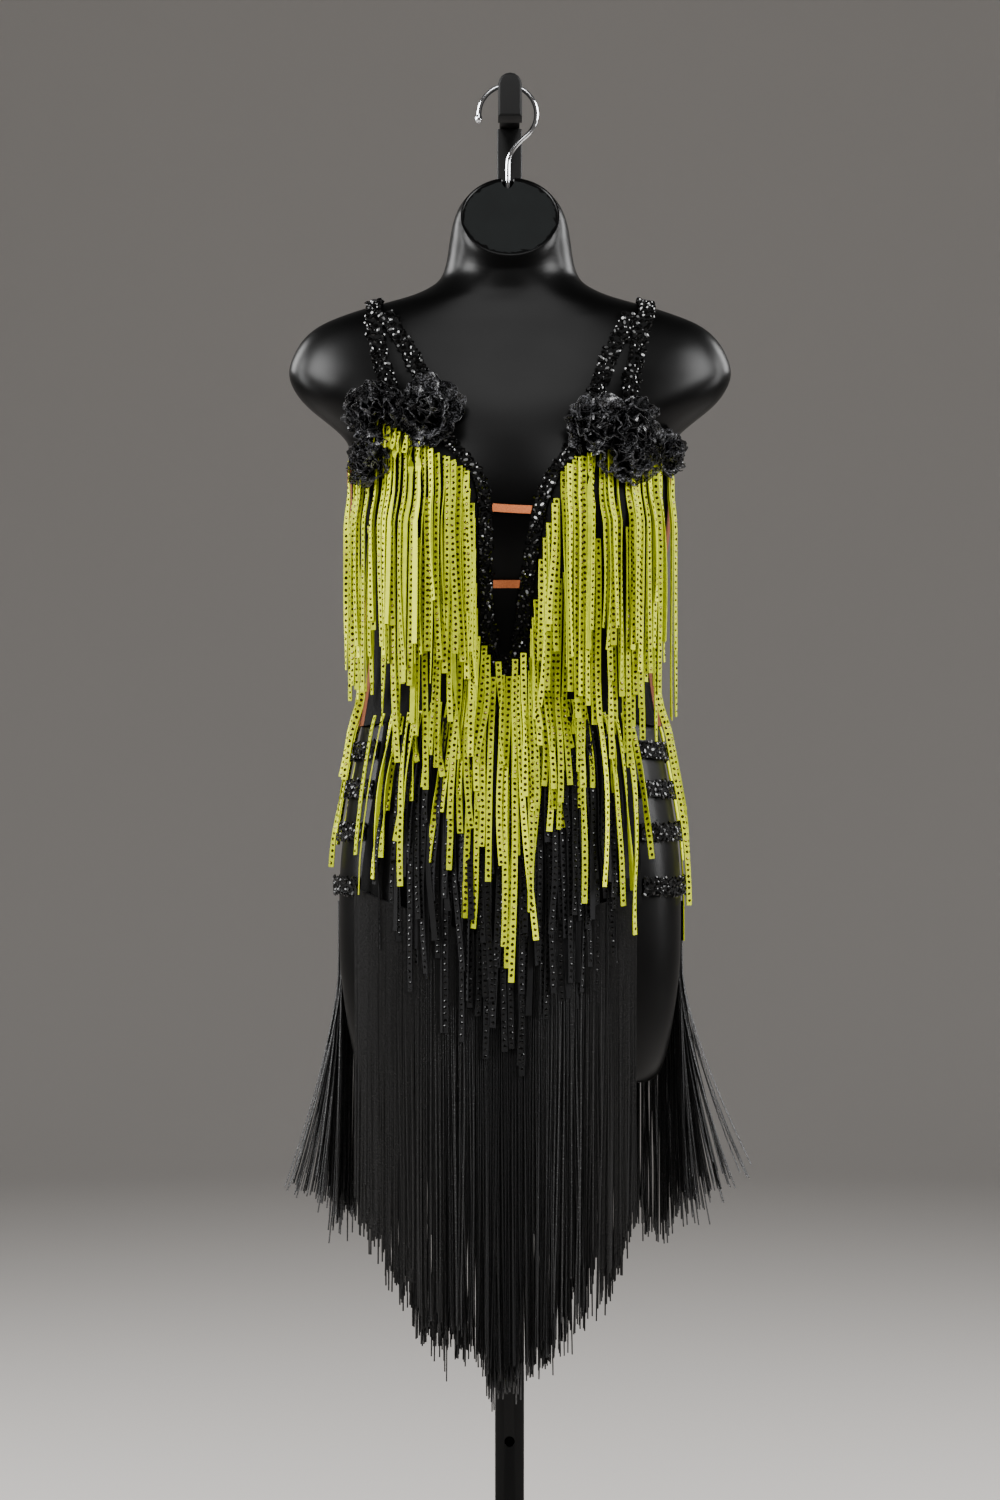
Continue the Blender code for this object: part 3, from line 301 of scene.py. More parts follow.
def crease_sharp(piece, angle, within):
    """Keeps the edges near the middle that turn more than the angle crisp under subdivision."""
    take(piece)
    bpy.ops.object.mode_set(mode="EDIT")
    bpy.ops.mesh.select_mode(type="EDGE")
    bpy.ops.mesh.select_all(action="DESELECT")
    bpy.ops.mesh.edges_select_sharp(sharpness=math.radians(angle))
    bpy.ops.object.mode_set(mode="OBJECT")
    for edge in piece.data.edges:
        edge.select &= all(abs(piece.data.vertices[i].co.x) < within for i in edge.vertices)
    bpy.ops.object.mode_set(mode="EDIT")
    bpy.ops.transform.edge_crease(value=1.0)
    bpy.ops.object.mode_set(mode="OBJECT")


def smooth(piece, angle=40):
    """Shades a piece smooth but for edges that turn more than the angle in degrees."""
    take(piece)
    bpy.ops.object.shade_smooth_by_angle(angle=math.radians(angle))


def finer(source, name, levels=2, keep=None, within=1.0):
    """A finer copy of a solid; keep is the angle past which its edges near the middle stay crisp."""
    piece = merged_copy(source, name)
    if keep:
        crease_sharp(piece, keep, within)
    modify(piece, "SUBSURF", levels=levels, render_levels=levels)
    smooth(piece)
    return piece


def dress_up(piece, body, surface, stands_for=()):
    """Gives a piece its material, its body and the solids that it stands for."""
    piece.data.materials.clear()
    piece.data.materials.append(bpy.data.materials[surface])
    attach(piece, body)
    if stands_for:
        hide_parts(*stands_for)
    return piece


def new_mesh(name, points, faces, tone_and_shade=None):
    """An object from points and faces, with a tone at each point where the material reads one; in ribbons
    that tone also holds painted shade.
    """
    mesh = bpy.data.meshes.new(name)
    mesh.from_pydata(points.reshape(-1, 3).tolist(), [], faces)
    if tone_and_shade is not None:
        layer = mesh.attributes.new("tone_and_shade", "FLOAT", "POINT")
        layer.data.foreach_set("value", tone_and_shade.astype(np.float32).ravel())
    mesh.update()
    made = bpy.data.objects.new(name, mesh)
    bpy.context.scene.collection.objects.link(made)
    return made


def unit(vectors):
    return vectors / np.maximum(np.linalg.norm(vectors, axis=-1, keepdims=True), 1e-12)


def tubes(name, rings, tone_and_shade):
    """Joins many strands into one mesh: rings[strand, step, corner]; each is closed at both ends."""
    strands, steps, sides, _ = rings.shape
    index = np.arange(strands * steps * sides).reshape(strands, steps, sides)
    low, high = index[:, :-1], index[:, 1:]
    walls = np.stack((low, np.roll(low, -1, 2), np.roll(high, -1, 2), high), -1).reshape(-1, 4)
    faces = walls.tolist() + index[:, 0, ::-1].tolist() + index[:, -1].tolist()
    return new_mesh(name, rings, faces, np.repeat(tone_and_shade, steps * sides))


def stones(name, stone, centres, axes, sizes):
    """Sets a copy of a stone at each centre, with its own axes[stone, axis] and sizes."""
    shape, sides = stone
    placed = centres[:, None] + np.einsum("vk,mk,mkc->mvc", shape, sizes, axes)
    offsets = (np.arange(len(centres)) * len(shape))[:, None]
    faces = []
    for side in sides:
        faces += (np.array(side)[None] + offsets).tolist()
    return new_mesh(name, placed, faces)


def leaning(axes, tilt, seed):
    """Leans each stone a little its own way, so that their facets flash one by one."""
    chance = np.random.default_rng(seed)
    out = unit(axes[:, 2] + axes[:, 0] * chance.normal(0, tilt, (len(axes), 1))
               + axes[:, 1] * chance.normal(0, tilt, (len(axes), 1)))
    side = unit(np.cross(axes[:, 1], out))
    return np.stack((side, np.cross(out, side), out), 1)


def cut_stone(sides, table, girdle=0.0):
    """Points and faces of a flat-backed stone, one unit in radius and in height."""
    base = girdle if girdle else 1.0
    bpy.ops.mesh.primitive_cylinder_add(vertices=sides, radius=1.0, depth=base, location=(0, 0, base / 2))
    stone = bpy.context.object
    bpy.ops.object.transform_apply(location=True)
    bpy.ops.object.mode_set(mode="EDIT")
    bpy.ops.mesh.select_mode(type="FACE")
    bpy.ops.mesh.select_all(action="DESELECT")
    bpy.ops.object.mode_set(mode="OBJECT")
    for face in stone.data.polygons:
        face.select = face.normal.z > 0.9
    bpy.ops.object.mode_set(mode="EDIT")
    if girdle:
        bpy.ops.mesh.extrude_region_move(TRANSFORM_OT_translate={"value": (0, 0, 1 - girdle)})
    bpy.ops.transform.resize(value=(table, table, 1))
    bpy.ops.object.mode_set(mode="OBJECT")
    shape = np.array([v.co[:] for v in stone.data.vertices])
    faces = [tuple(face.vertices) for face in stone.data.polygons]
    bpy.data.objects.remove(stone)
    return shape, faces


# ---------------------------------------------------------------- the form's skin

class Skin:
    """Looks up the form's surface by turn round its axis, from the front or back, or by place."""

    OUTSIDE = 0.6            # metres from the axis, clear of the form all round

    def __init__(self, piece):
        self.tree = BVHTree.FromObject(piece, bpy.context.evaluated_depsgraph_get())
        self.heights = np.arange(FORM_BOTTOM + 2 * MM, FORM_TOP, HEIGHT_STEP)
        turns = np.arange(0, 2 * math.pi + TURN_STEP, TURN_STEP)
        self.reach = np.array([[self.cast(turn, height) for height in self.heights] for turn in turns])

    def cast(self, turn, height):
        """Distance from the axis to the skin at one turn and height."""
        aim = Vector((math.cos(turn), math.sin(turn), 0))
        hit = self.tree.ray_cast(aim * self.OUTSIDE + Vector((0, 0, height)), -aim)[0]
        return math.hypot(hit.x, hit.y) if hit else 0.0

    def distance(self, turn, heights):
        """Distance from the axis to the skin at one turn and several heights; zero below the form."""
        across = (turn % (2 * math.pi)) / TURN_STEP
        left = int(across)
        column = self.reach[left] * (1 - across + left) + self.reach[left + 1] * (across - left)
        return np.where(heights < FORM_BOTTOM, 0.0, np.interp(heights, self.heights, column))

    def turn_at(self, x, height, face=-1):
        """Turn of the place that is seen at x from the front (-1) or the back (1)."""
        hit = self.tree.ray_cast(Vector((x, face * self.OUTSIDE, height)), Vector((0, -face, 0)))[0]
        return math.atan2(hit.y, hit.x)

    def nearest(self, place):
        """The skin's nearest point and its normal there."""
        point, normal, _, _ = self.tree.find_nearest(Vector(place))
        return point, normal


# ---------------------------------------------------------------- hanging strands

def front_crest(*rows):
    """A line of roots across the front, from rows of (share, x, height)."""
    table = np.array(rows)

    def place(share):
        x = np.interp(share, table[:, 0], table[:, 1])
        height = np.interp(share, table[:, 0], table[:, 2])
        return skin.turn_at(x, height), height
    return place


def level_crest(first, last, height):
    """A level line of roots between two turns in degrees."""
    return lambda share: (math.radians(first + (last - first) * share), height)


def along(*rows):
    """A value that follows rows of (share, value)."""
    table = np.array(sorted(rows))
    return lambda share: np.interp(share, table[:, 0], table[:, 1])


def lift(*rows):
    """Clearance from the skin, from rows of (height, millimetres)."""
    table = np.array(sorted(rows))
    return lambda heights: np.interp(heights, table[:, 0], table[:, 1]) * MM


def hang(turn, top, foot, clearance, steps, drift=0.0, wave=0.0, phase=0.0, flare=0.0, group=0.0,
         plumb=0.0):
    """Centre line and outward direction of a strand that drops from its root over the form.

    Strands slide towards each other in groups, so that what lies behind shows in between. A strand
    keeps its turn round the axis, or, as far as plumb says, its x as the form swells below it.
    """
    share = np.linspace(0, 1, steps)
    turn = turn + group * sum(swing * math.sin(waves * turn + start) for swing, waves, start in GROUPS)
    heights = top + (foot - top) * share
    below, turns = skin.distance(turn, heights), np.full(steps, turn)
    if plumb:
        x_share = np.clip(math.cos(turn) * below[0] / np.maximum.accumulate(below), -1, 1)
        turns += plumb * (np.copysign(np.arccos(x_share), turn) - turn)
        below = np.array([skin.distance(*place) for place in zip(turns, heights)])
    reach = np.maximum.accumulate(np.where(below > 0, below + clearance(heights), 0.0))
    reach = reach + flare * np.clip((share - FLARE_START) / (1 - FLARE_START), 0, None) ** FLARE_CURVE
    aside = drift * share ** 1.5 + wave * np.sin(phase + 5 * share) * share
    turned = turns + aside / reach
    out = np.stack((np.cos(turned), np.sin(turned), np.zeros(steps)), -1)
    return out * reach[:, None] + np.stack((0 * share, 0 * share, heights), -1), out


def spaced(count, chance, looseness=0.35):
    """Shares from 0 to 1 at uneven steps."""
    return [(k + 0.5 + looseness * (chance.random() * 2 - 1)) / count for k in range(count)]


class Ribbons:
    """Collects the ribbons of one fringe, then makes their suede and their studs."""

    def __init__(self, seed):
        self.chance = random.Random(seed)
        self.lines, self.outs, self.twists, self.tones = [], [], [], []

    def tier(self, crest, feet, count, clearance, stagger, layer=0, plain=0.10, edge=0.12, drift=3.0,
             flare=0.0, facing=0.0, group=0.0, plumb=0.0):
        """Hangs a row of ribbons from its crest, each down to its own foot."""
        chance = self.chance
        for share in spaced(count, chance):
            turn, top = crest(share)
            foot = feet(share) + stagger * (chance.random() * 2 - 1)
            own = layer * RIBBON_LAYER + 0.5 * MM * chance.random()
            line, out = hang(turn, top + 3 * MM * chance.random(), foot, lambda h: clearance(h) + own,
                             RIBBON_STEPS, drift=chance.gauss(0, drift) * MM, wave=chance.gauss(0, 2.2) * MM,
                             phase=chance.random() * 6, flare=flare * chance.random(), group=group,
                             plumb=plumb)
            self.lines.append(line)
            self.outs.append(out)
            self.twists.append(self.twist(facing, plain, edge))
            # painted shade: the tone differs at random, but it is cut to 0.35 in the innermost layer and 0.75
            # in the next, so ribbons that lie under others are coloured darker as if shaded
            self.tones.append(chance.random() ** 1.5 * min(1.0, 0.35 + 0.4 * layer))

    def twist(self, facing, plain, edge):
        """Turn of a ribbon at each step: shares of them show their plain backs or turn edge on."""
        chance = self.chance
        down = np.linspace(0, 1, RIBBON_STEPS)
        twist = math.radians(facing + chance.gauss(0, TWIST_SPREAD)) + math.radians(
            chance.gauss(0, CURL_SPREAD)) * np.sin(chance.random() * 6 + 4 * down)
        kind = chance.random()
        if kind < plain:
            twist = twist + math.pi * np.clip((down - 0.04) * 9, 0, 1)
        elif kind < plain + edge:
            twist = twist + chance.choice((-1, 1)) * math.radians(EDGE_ON) * np.sin(math.pi * down) ** 2
        return twist * np.clip(down * 12, 0.1, 1)

    def make(self, name, suede, slot, node_names, stud_finish):
        """Makes the collected ribbons one piece and their studs another."""
        lines, outs = np.array(self.lines), np.array(self.outs)
        heading = unit(np.gradient(lines, axis=1))
        across = unit(np.cross(outs, heading))
        outward = np.cross(heading, across)
        cosine, sine = np.cos(self.twists)[..., None], np.sin(self.twists)[..., None]
        wide, face = across * cosine + outward * sine, outward * cosine - across * sine
        half_w, half_t = wide * RIBBON_WIDTH / 2, face * RIBBON_THICK / 2
        rings = np.stack((half_w + half_t, -half_w + half_t, -half_w - half_t, half_w - half_t), 2)
        band = tubes(name, lines[:, :, None] + rings, np.array(self.tones))
        smooth(band)
        dress_up(band, HUNG, suede, node_names)
        rows = [stud_row(*ribbon) for ribbon in zip(lines, wide, face)]
        centres, axes = (np.concatenate(part) for part in zip(*rows))
        axes = leaning(axes, STUD_TILT, self.chance.randrange(10 ** 6))
        sizes = np.tile((STUD_RADIUS, STUD_RADIUS, STUD_CROWN), (len(centres), 1))
        studs = stones(name + "_studs", STUD, centres, axes, sizes)
        dress_up(studs, HUNG, stud_finish)


def stud_row(line, wide, face):
    """Centres and axes of the studs down one ribbon, from its centre line, width and facing."""
    length = np.concatenate(([0], np.cumsum(np.linalg.norm(np.diff(line, axis=0), axis=1))))
    stops = np.arange(STUD_PITCH / 2, length[-1] - STUD_RADIUS, STUD_PITCH)
    middle, side, out = (np.stack([np.interp(stops, length, values[:, axis]) for axis in range(3)], -1)
                         for values in (line, wide, face))
    side, out = unit(side), unit(out)
    return middle + out * RIBBON_THICK / 2, np.stack((side, np.cross(out, side), out), 1)


# ---------------------------------------------------------------- lime and black ribbons

# How far off the skin each fringe hangs: rows of (height, millimetres)
BUST_OVER = ((1.300, 4.8), (1.228, 4.8), (1.195, 9.5))
WAIST_OVER = ((1.260, 4.8), (1.100, 4.8), (1.062, 8.5), (1.010, 12.5))
STEPS_OVER = ((1.30, 14.0), (1.20, 14.0))
FRONT_OVER = ((1.060, 4.8), (1.045, 5.2), (1.020, 8.0), (0.960, 9.6), (0.945, 9.8), (0.900, 12.0))
LAPPED_OVER = ((1.090, 10.5), (1.045, 10.5), (1.000, 12.5))
BACK_OVER = ((1.060, 4.8), (1.040, 4.8), (1.015, 8.0))
BLACK_OVER = ((1.020, 4.5), (0.920, 4.5), (0.880, 7.6))
HEM_OVER = ((0.690, 4.2), (0.900, 4.2))

BUST_LAYERS = (
    # layer, ribbons, lowest and highest foot
    (0, 10, 1.045, 1.085),
    (1, 18, 1.055, 1.115),
    (2, 6, 1.085, 1.150),
)
BUST_CRESTS = {
    # side: rows of (share, x, height) from the neckline to the arm
    "left": ((0.0, -0.0355, 1.2440), (0.08, -0.0430, 1.2520), (0.22, -0.0580, 1.2610),
             (0.42, -0.0780, 1.2740), (0.60, -0.0970, 1.2850), (0.76, -0.1160, 1.2880),
             (1.0, -0.1430, 1.2560)),
    "right": ((0.0, 0.0430, 1.2420), (0.08, 0.0520, 1.2560), (0.25, 0.0700, 1.2620), (0.60, 0.1050, 1.2700),
              (0.80, 0.1250, 1.2640), (1.0, 0.1430, 1.2480)),
}
NECK_CRESTS = {
    # side: rows of (share, x, height) down beside the neckline's trim
    "left": ((0.0, -0.0365, 1.2440), (0.25, -0.0310, 1.2150), (0.55, -0.0300, 1.1650), (0.8, -0.0280, 1.1120),
             (1.0, -0.0240, 1.0760)),
    "right": ((0.0, 0.0430, 1.2400), (0.20, 0.0330, 1.2080), (0.45, 0.0258, 1.1711), (0.72, 0.0198, 1.1250),
              (0.90, 0.0170, 1.0868), (1.0, 0.0170, 1.0700)),
}

LONG_RIBBONS = (
    # x, foot of the odd ribbons that hang lower than their row
    (-0.1280, 0.906), (-0.1200, 0.866), (-0.1100, 0.884), (-0.1040, 0.905), (-0.0940, 0.876),
    (-0.0880, 0.915), (0.0035, 0.790), (0.0600, 0.866), (0.0820, 0.880), (0.0890, 0.862),
    (0.0980, 0.872), (0.1060, 0.836), (0.1120, 0.902),
)


def make_lime(ribbons, name, source):
    """Finishes a lime fringe, which stands for its solid."""
    ribbons.make(name, "lime_faux_suede", "lime_ribbon", [source], "foiled_glass")


def bust_ribbons(side, sign):
    """The upper fringe, sewn along the top edge of a bodice front."""
    ribbons = Ribbons(31 + sign)
    crest = front_crest(*BUST_CRESTS[side])
    for layer, count, low, high in BUST_LAYERS:
        middle = (low + high) / 2
        feet = along((0.0, low), (0.35, middle), (0.75, middle), (0.92, low), (1.0, low))
        ribbons.tier(crest, feet, count, lift(*BUST_OVER), 0.030, layer, group=0.15, drift=2.0, plumb=0.8)
    if side == "left":
        # the short tabs that show between the rosettes
        steps = front_crest((0.0, -0.0810, 1.2780), (1.0, -0.1090, 1.2950))
        ribbons.tier(steps, along((0.0, 1.262), (1.0, 1.277)), 6, lift(*STEPS_OVER), 0.002, plain=0.0,
                     edge=0.0)
    make_lime(ribbons, "bust_ribbons_" + side, "lime_fringe_bust_" + side)


def waist_ribbons(side, sign):
    """The second fringe, from a line that rises from the neckline's foot to the side."""
    ribbons = Ribbons(41 + sign)
    crest = front_crest((0.0, sign * 0.0200, 1.0780), (0.25, sign * 0.0400, 1.1500),
                        (0.6, sign * 0.0850, 1.1950), (1.0, sign * 0.1330, 1.2000))
    high = 0.0 if side == "left" else 0.018
    feet = along((0.0, 0.945 + high), (0.3, 0.965 + high), (0.6, 0.995), (0.8, 1.030), (1.0, 1.040))
    for layer, count in ((0, 11), (1, 9)):
        ribbons.tier(crest, feet, count, lift(*WAIST_OVER), 0.034, layer, group=0.9, drift=4.0)
    edge = front_crest(*NECK_CRESTS[side])
    ribbons.tier(edge, along((0.0, 1.060), (0.5, 1.030), (1.0, 0.960)), 7, lift(*WAIST_OVER), 0.034, 2,
                 drift=1.4, edge=0.05)
    ribbons.tier(edge, along((0.0, 1.120), (0.5, 1.070), (1.0, 1.010)), 5, lift(*WAIST_OVER), 0.030, 3,
                 drift=1.4, edge=0.05)
    make_lime(ribbons, "waist_ribbons_" + side, "lime_fringe_waist_" + side)


def front_skirt_ribbons():
    """The lowest lime fringe, which runs down to a point in the middle."""
    ribbons = Ribbons(51)
    over = lift(*FRONT_OVER)
    crest = front_crest((0.0, -0.0960, 1.0240), (0.40, -0.0260, 1.0540), (0.5, 0.0, 1.0580),
                        (0.60, 0.0230, 1.0540), (1.0, 0.0880, 1.0260))
    short = along((0.0, 0.995), (0.25, 0.970), (0.40, 0.915), (0.5, 0.885), (0.58, 0.935), (0.66, 0.980),
                  (1.0, 0.998))
    longer = along((0.0, 0.980), (0.20, 0.945), (0.30, 0.910), (0.40, 0.850), (0.5, 0.808), (0.56, 0.835),
                   (0.62, 0.890), (0.70, 0.955), (0.80, 0.985), (1.0, 0.990))
    ribbons.tier(crest, longer, 18, over, 0.034, 0, drift=6.0, group=1.0)
    ribbons.tier(crest, short, 12, over, 0.034, 1, drift=6.0, group=1.0)
    point = front_crest((0.0, -0.0240, 1.0640), (0.5, 0.0, 1.0640), (1.0, 0.0210, 1.0680))
    ribbons.tier(point, along((0.0, 0.930), (0.5, 0.840), (1.0, 0.930)), 7, over, 0.035, 2, drift=6.0)
    lapped = front_crest((0.0, -0.0210, 1.0830), (0.5, -0.0030, 1.0740), (1.0, 0.0130, 1.0860))
    ribbons.tier(lapped, along((0.0, 0.985), (1.0, 0.955)), 4, lift(*LAPPED_OVER), 0.020, 2, drift=5.0,
                 edge=0.3)
    for x, foot in LONG_RIBBONS:
        # the hips widen below the root, so the root lies nearer the middle than the foot
        root = front_crest((0.0, x * 0.87, 1.030), (1.0, x * 0.87, 1.030))
        ribbons.tier(root, along((0.0, foot), (1.0, foot)), 1, over, 0.004, 2, drift=5.0, edge=0.3)
    make_lime(ribbons, "skirt_ribbons_front", "lime_fringe_skirt_front")


def back_skirt_ribbons():
    """Two rows round the back from the waist seam, and loose ribbons at both open hips."""
    ribbons = Ribbons(53)
    over = lift(*BACK_OVER)
    crest = level_crest(8, 172, 1.052)
    feet = along((0.0, 0.835), (0.12, 0.850), (0.5, 0.880), (0.88, 0.870), (1.0, 0.895))
    ribbons.tier(crest, feet, 36, over, 0.028, 0, drift=4.0)
    ribbons.tier(crest, along((0.0, 0.900), (0.5, 0.930), (1.0, 0.930)), 34, over, 0.025, 1)
    for first, last, foot, facing, count in ((-8, 6, 0.870, 60, 4), (178, 192, 0.910, -60, 2)):
        hip, upper = level_crest(first, last, 1.058), foot + 0.055
        ribbons.tier(hip, along((0.0, foot), (1.0, foot)), count, over, 0.025, 0, drift=4.0, facing=facing,
                     edge=0.3)
        ribbons.tier(hip, along((0.0, upper), (1.0, upper)), 2, over, 0.030, 1, drift=4.0, facing=facing,
                     edge=0.3)
    make_lime(ribbons, "skirt_ribbons_back", "lime_fringe_skirt_back")


def black_ribbons():
    """Three rows of black ribbons on the front of the skirt, below the lime point."""
    ribbons = Ribbons(57)
    over = lift(*BLACK_OVER)
    crest = front_crest((0.0, -0.0990, 1.0180), (0.5, 0.0, 1.0400), (1.0, 0.0880, 1.0180))
    ribbons.tier(crest, along((0.0, 0.825), (0.3, 0.770), (0.5, 0.715), (0.7, 0.760), (1.0, 0.795)), 36, over,
                 0.035, 0, plain=0.2, drift=4.0, group=0.5)
    ribbons.tier(crest, along((0.0, 0.870), (0.5, 0.790), (1.0, 0.850)), 34, over, 0.045, 1, plain=0.2,
                 drift=5.0, group=0.5)
    ribbons.tier(crest, along((0.0, 0.900), (0.5, 0.880), (1.0, 0.880)), 24, over, 0.045, 2, plain=0.2,
                 drift=5.0, group=0.5)
    ribbons.make("black_ribbons_front", "black_faux_suede", "black_ribbon", ["black_ribbon_fringe_front"],
                 "smoked_glass")


# ---------------------------------------------------------------- black chainette

CORDS_A_LOCK = 9
LAYER_RISE = 7               # millimetres by which each outer layer ends higher
LOCK_SPREAD = 10             # how unevenly locks, and then cords, are cut, in millimetres
CORD_SPREAD = 8


def chainette(name, crest, feet, count, layers, flare, node_names, seed):
    """Fine cords from a hem, cut to locks of uneven length."""
    chance = random.Random(seed)
    locks = [chance.gauss(0, LOCK_SPREAD) * MM for _ in range(count // CORDS_A_LOCK + 2)]
    hem = lift(*HEM_OVER)
    lines, outs, tones = [], [], []
    for layer in range(layers):
        for k, share in enumerate(spaced(count, chance)):
            turn, top = crest(share)
            foot = (feet(share) + locks[k // CORDS_A_LOCK] + chance.gauss(0, CORD_SPREAD) * MM
                    + layer * LAYER_RISE * MM)
            swing = flare(share) * (0.1 + 0.9 * chance.random())
            line, out = hang(turn, top, foot, lambda h: hem(h) + layer * CORD_LAYER, CORD_STEPS,
                             drift=chance.gauss(0, 3) * MM, wave=chance.gauss(0, 1.2) * MM,
                             phase=chance.random() * 6, flare=swing + chance.gauss(0, 1.5) * MM, group=0.45)
            lines.append(line)
            outs.append(out)
            tones.append(chance.random())
    lines, outs = np.array(lines), np.array(outs)
    heading = unit(np.gradient(lines, axis=1))
    across = unit(np.cross(outs, heading))
    outward = np.cross(heading, across)
    rings = np.stack([across * math.cos(t) + outward * math.sin(t)
                      for t in (math.pi / 2 + 2 * math.pi * k / 3 for k in range(3))], 2) * CORD_RADIUS
    cords = tubes(name, lines[:, :, None] + rings, np.array(tones))
    smooth(cords, 70)
    dress_up(cords, HUNG, "rayon_chainette", node_names)


def front_hem():
    """Cords from the front skirt's hem, longest in the middle."""
    crest = front_crest((0.0, -0.1330, 0.8740), (0.5, -0.012, 0.8280), (1.0, 0.1075, 0.8740))
    feet = along((0.0, 0.590), (0.05, 0.565), (0.12, 0.535), (0.25, 0.478), (0.5, 0.434), (0.66, 0.450),
                 (0.78, 0.490), (0.90, 0.525), (0.97, 0.560), (1.0, 0.572))
    chainette("front_chainette", crest, feet, 250, 4, lambda share: 0.0, ["black_fringe_front"], 61)


def back_hem():
    """Cords from the back skirt's hem: most of them hang, and swing out, near its two side edges."""
    def crest(share):
        return math.radians(90 - 79 * math.cos(math.pi * share)), 0.859

    def swing(share):
        widest = 0.072 if share < 0.5 else 0.054
        return widest * max(0.0, abs(2 * share - 1) * 1.8 - 0.8) ** 2

    feet = along((0.0, 0.588), (0.10, 0.565), (0.25, 0.560), (0.5, 0.545), (0.75, 0.560), (0.90, 0.570),
                 (1.0, 0.582))
    chainette("back_chainette", crest, feet, 300, 3, swing, ["black_fringe_back"], 67)


# ---------------------------------------------------------------- cloth, bands and stones

STONE_KINDS = (
    # radius, length_share, crown_share, tries for each square centimetre
    (2.0 * MM, 1.8, 0.80, 6),        # long navettes
    (2.3 * MM, 1.0, 0.75, 26),
    (1.6 * MM, 1.0, 0.80, 50),
    (1.05 * MM, 1.0, 0.90, 30),      # seed stones
)
SQUARE_CENTIMETRE = 1e-4
STONE_SPACING = 0.92         # share of their two radii that stones keep between their middles
STONE_TILT = 0.20
STONE_SINK = 0.5 * MM
OUTER_FACE = 2.6 * MM        # a band's outer face lies further than this from the skin


def outer_triangles(band):
    """Corners, normals and areas of the triangles on a band's outer face."""
    mesh = band.data
    mesh.calc_loop_triangles()
    corners, normals, areas = [], [], []
    for triangle in mesh.loop_triangles:
        points = np.array([mesh.vertices[i].co[:] for i in triangle.vertices])
        middle, facing = Vector(points.mean(0)), triangle.normal
        place, normal = skin.nearest(middle)
        if (middle - place).dot(facing) > OUTER_FACE and normal.dot(facing) > 0.6:
            corners.append(points)
            normals.append(facing.copy())
            areas.append(triangle.area)
    return corners, normals, np.array(areas)


def scatter_stones(band, name, seed, glass="jet_glass"):
    """Covers a band's outer face with stones: a few long ones, then round ones, the smallest last."""
    chance = random.Random(seed)
    corners, normals, areas = outer_triangles(band)
    steps = np.cumsum(areas)
    middles, rooms, axes, sizes = [], [], [], []
    centres = []
    for radius, longer, crown, tries in STONE_KINDS:
        for _ in range(int(tries * steps[-1] / SQUARE_CENTIMETRE)):
            t = int(np.searchsorted(steps, chance.random() * steps[-1]))
            a, b = sorted((chance.random(), chance.random()))
            place = corners[t][0] * a + corners[t][1] * (b - a) + corners[t][2] * (1 - b)
            size = radius * (0.85 + 0.3 * chance.random())
            room = size * math.sqrt(longer)
            if middles:
                apart = np.linalg.norm(np.array(middles) - place, axis=1)
                if (apart < (np.array(rooms) + room) * STONE_SPACING).any():
                    continue
            middles.append(place)
            rooms.append(room)
            tilt = Vector([chance.gauss(0, STONE_TILT) for _ in range(3)])
            out = (normals[t] + tilt).normalized()
            side = out.orthogonal().normalized()
            turn = chance.random() * math.pi * 2
            side = side * math.cos(turn) + out.cross(side) * math.sin(turn)
            centres.append(place - np.array(normals[t]) * STONE_SINK)
            axes.append([vector[:] for vector in (side, out.cross(side), out)])
            sizes.append((size * longer, size, size * crown))
    cover = stones(name, JEWEL, np.array(centres), np.array(axes), np.array(sizes))
    return dress_up(cover, HUNG, glass)


PULLED_ENDS = {
    # band: height and length of the pulled end, sideways and upward pull, depth of its tuck
    "strap_left_inner": (1.3500, 0.038, -0.0085, 0.0120, 0.5 * MM),
    "strap_right_inner": (1.3500, 0.038, 0.0085, 0.0125, 0.5 * MM),
    "neckline_trim_left": (1.2420, 0.026, -0.0150, 0.0090, 0.0),
    "neckline_trim_right": (1.2440, 0.020, 0.0070, 0.0070, 0.0),
}


def pull_end(band, start, run, aside, up, tuck):
    """Draws the top end of a band sideways and up along the skin, and tucks it under."""
    for vertex in band.data.vertices:
        share = min(max((vertex.co.z - start) / run, 0.0), 1.0)
        if share:
            share = share * share * (3 - 2 * share)
            place, _ = skin.nearest(vertex.co)
            clear = (vertex.co - place).length
            moved, normal = skin.nearest(vertex.co + Vector((aside, 0, up)) * share)
            vertex.co = moved + normal * (clear - tuck * share)


def bands():
    """Straps, neckline trims and side bands: a cloth band under its stones."""
    names = ["strap_%s_%s" % (side, place) for side in ("left", "right") for place in ("outer", "inner")]
    names += ["neckline_trim_" + side for side in ("left", "right")]
    names += ["side_band_%s_%d" % (side, k) for side in ("left", "right") for k in (1, 2, 3, 4)]
    for k, source in enumerate(names):
        band = finer(source, source + "_cloth", keep=50)
        if source in PULLED_ENDS:
            pull_end(band, *PULLED_ENDS[source])
        dress_up(band, HUNG, "stretch_crepe", [source])
        glass = "smoked_glass" if source.startswith("side_band") else "jet_glass"
        cover = scatter_stones(band, source + "_stones", 100 + k, glass)
    neckline_point()


POINT_X = -0.0015            # the patch at the neckline's foot: its middle and half its size
POINT_Z = 1.0720
POINT_HALF_WIDTH = 21.5 * MM
POINT_HALF_HEIGHT = 13 * MM
POINT_OVER = 5.4 * MM
POINT_THICK = 1.2 * MM
POINT_ROUNDING = 0.32        # how much its outline is drawn in towards the corners
POINT_COLUMNS, POINT_ROWS = 24, 16


def grid_faces(rows, columns, first=0):
    """Quads of a grid of points that is written row by row, from the first point's number."""
    index = np.arange(rows * columns).reshape(rows, columns) + first
    quads = np.stack((index[:-1, :-1], index[:-1, 1:], index[1:, 1:], index[1:, :-1]), -1)
    return quads.reshape(-1, 4).tolist()


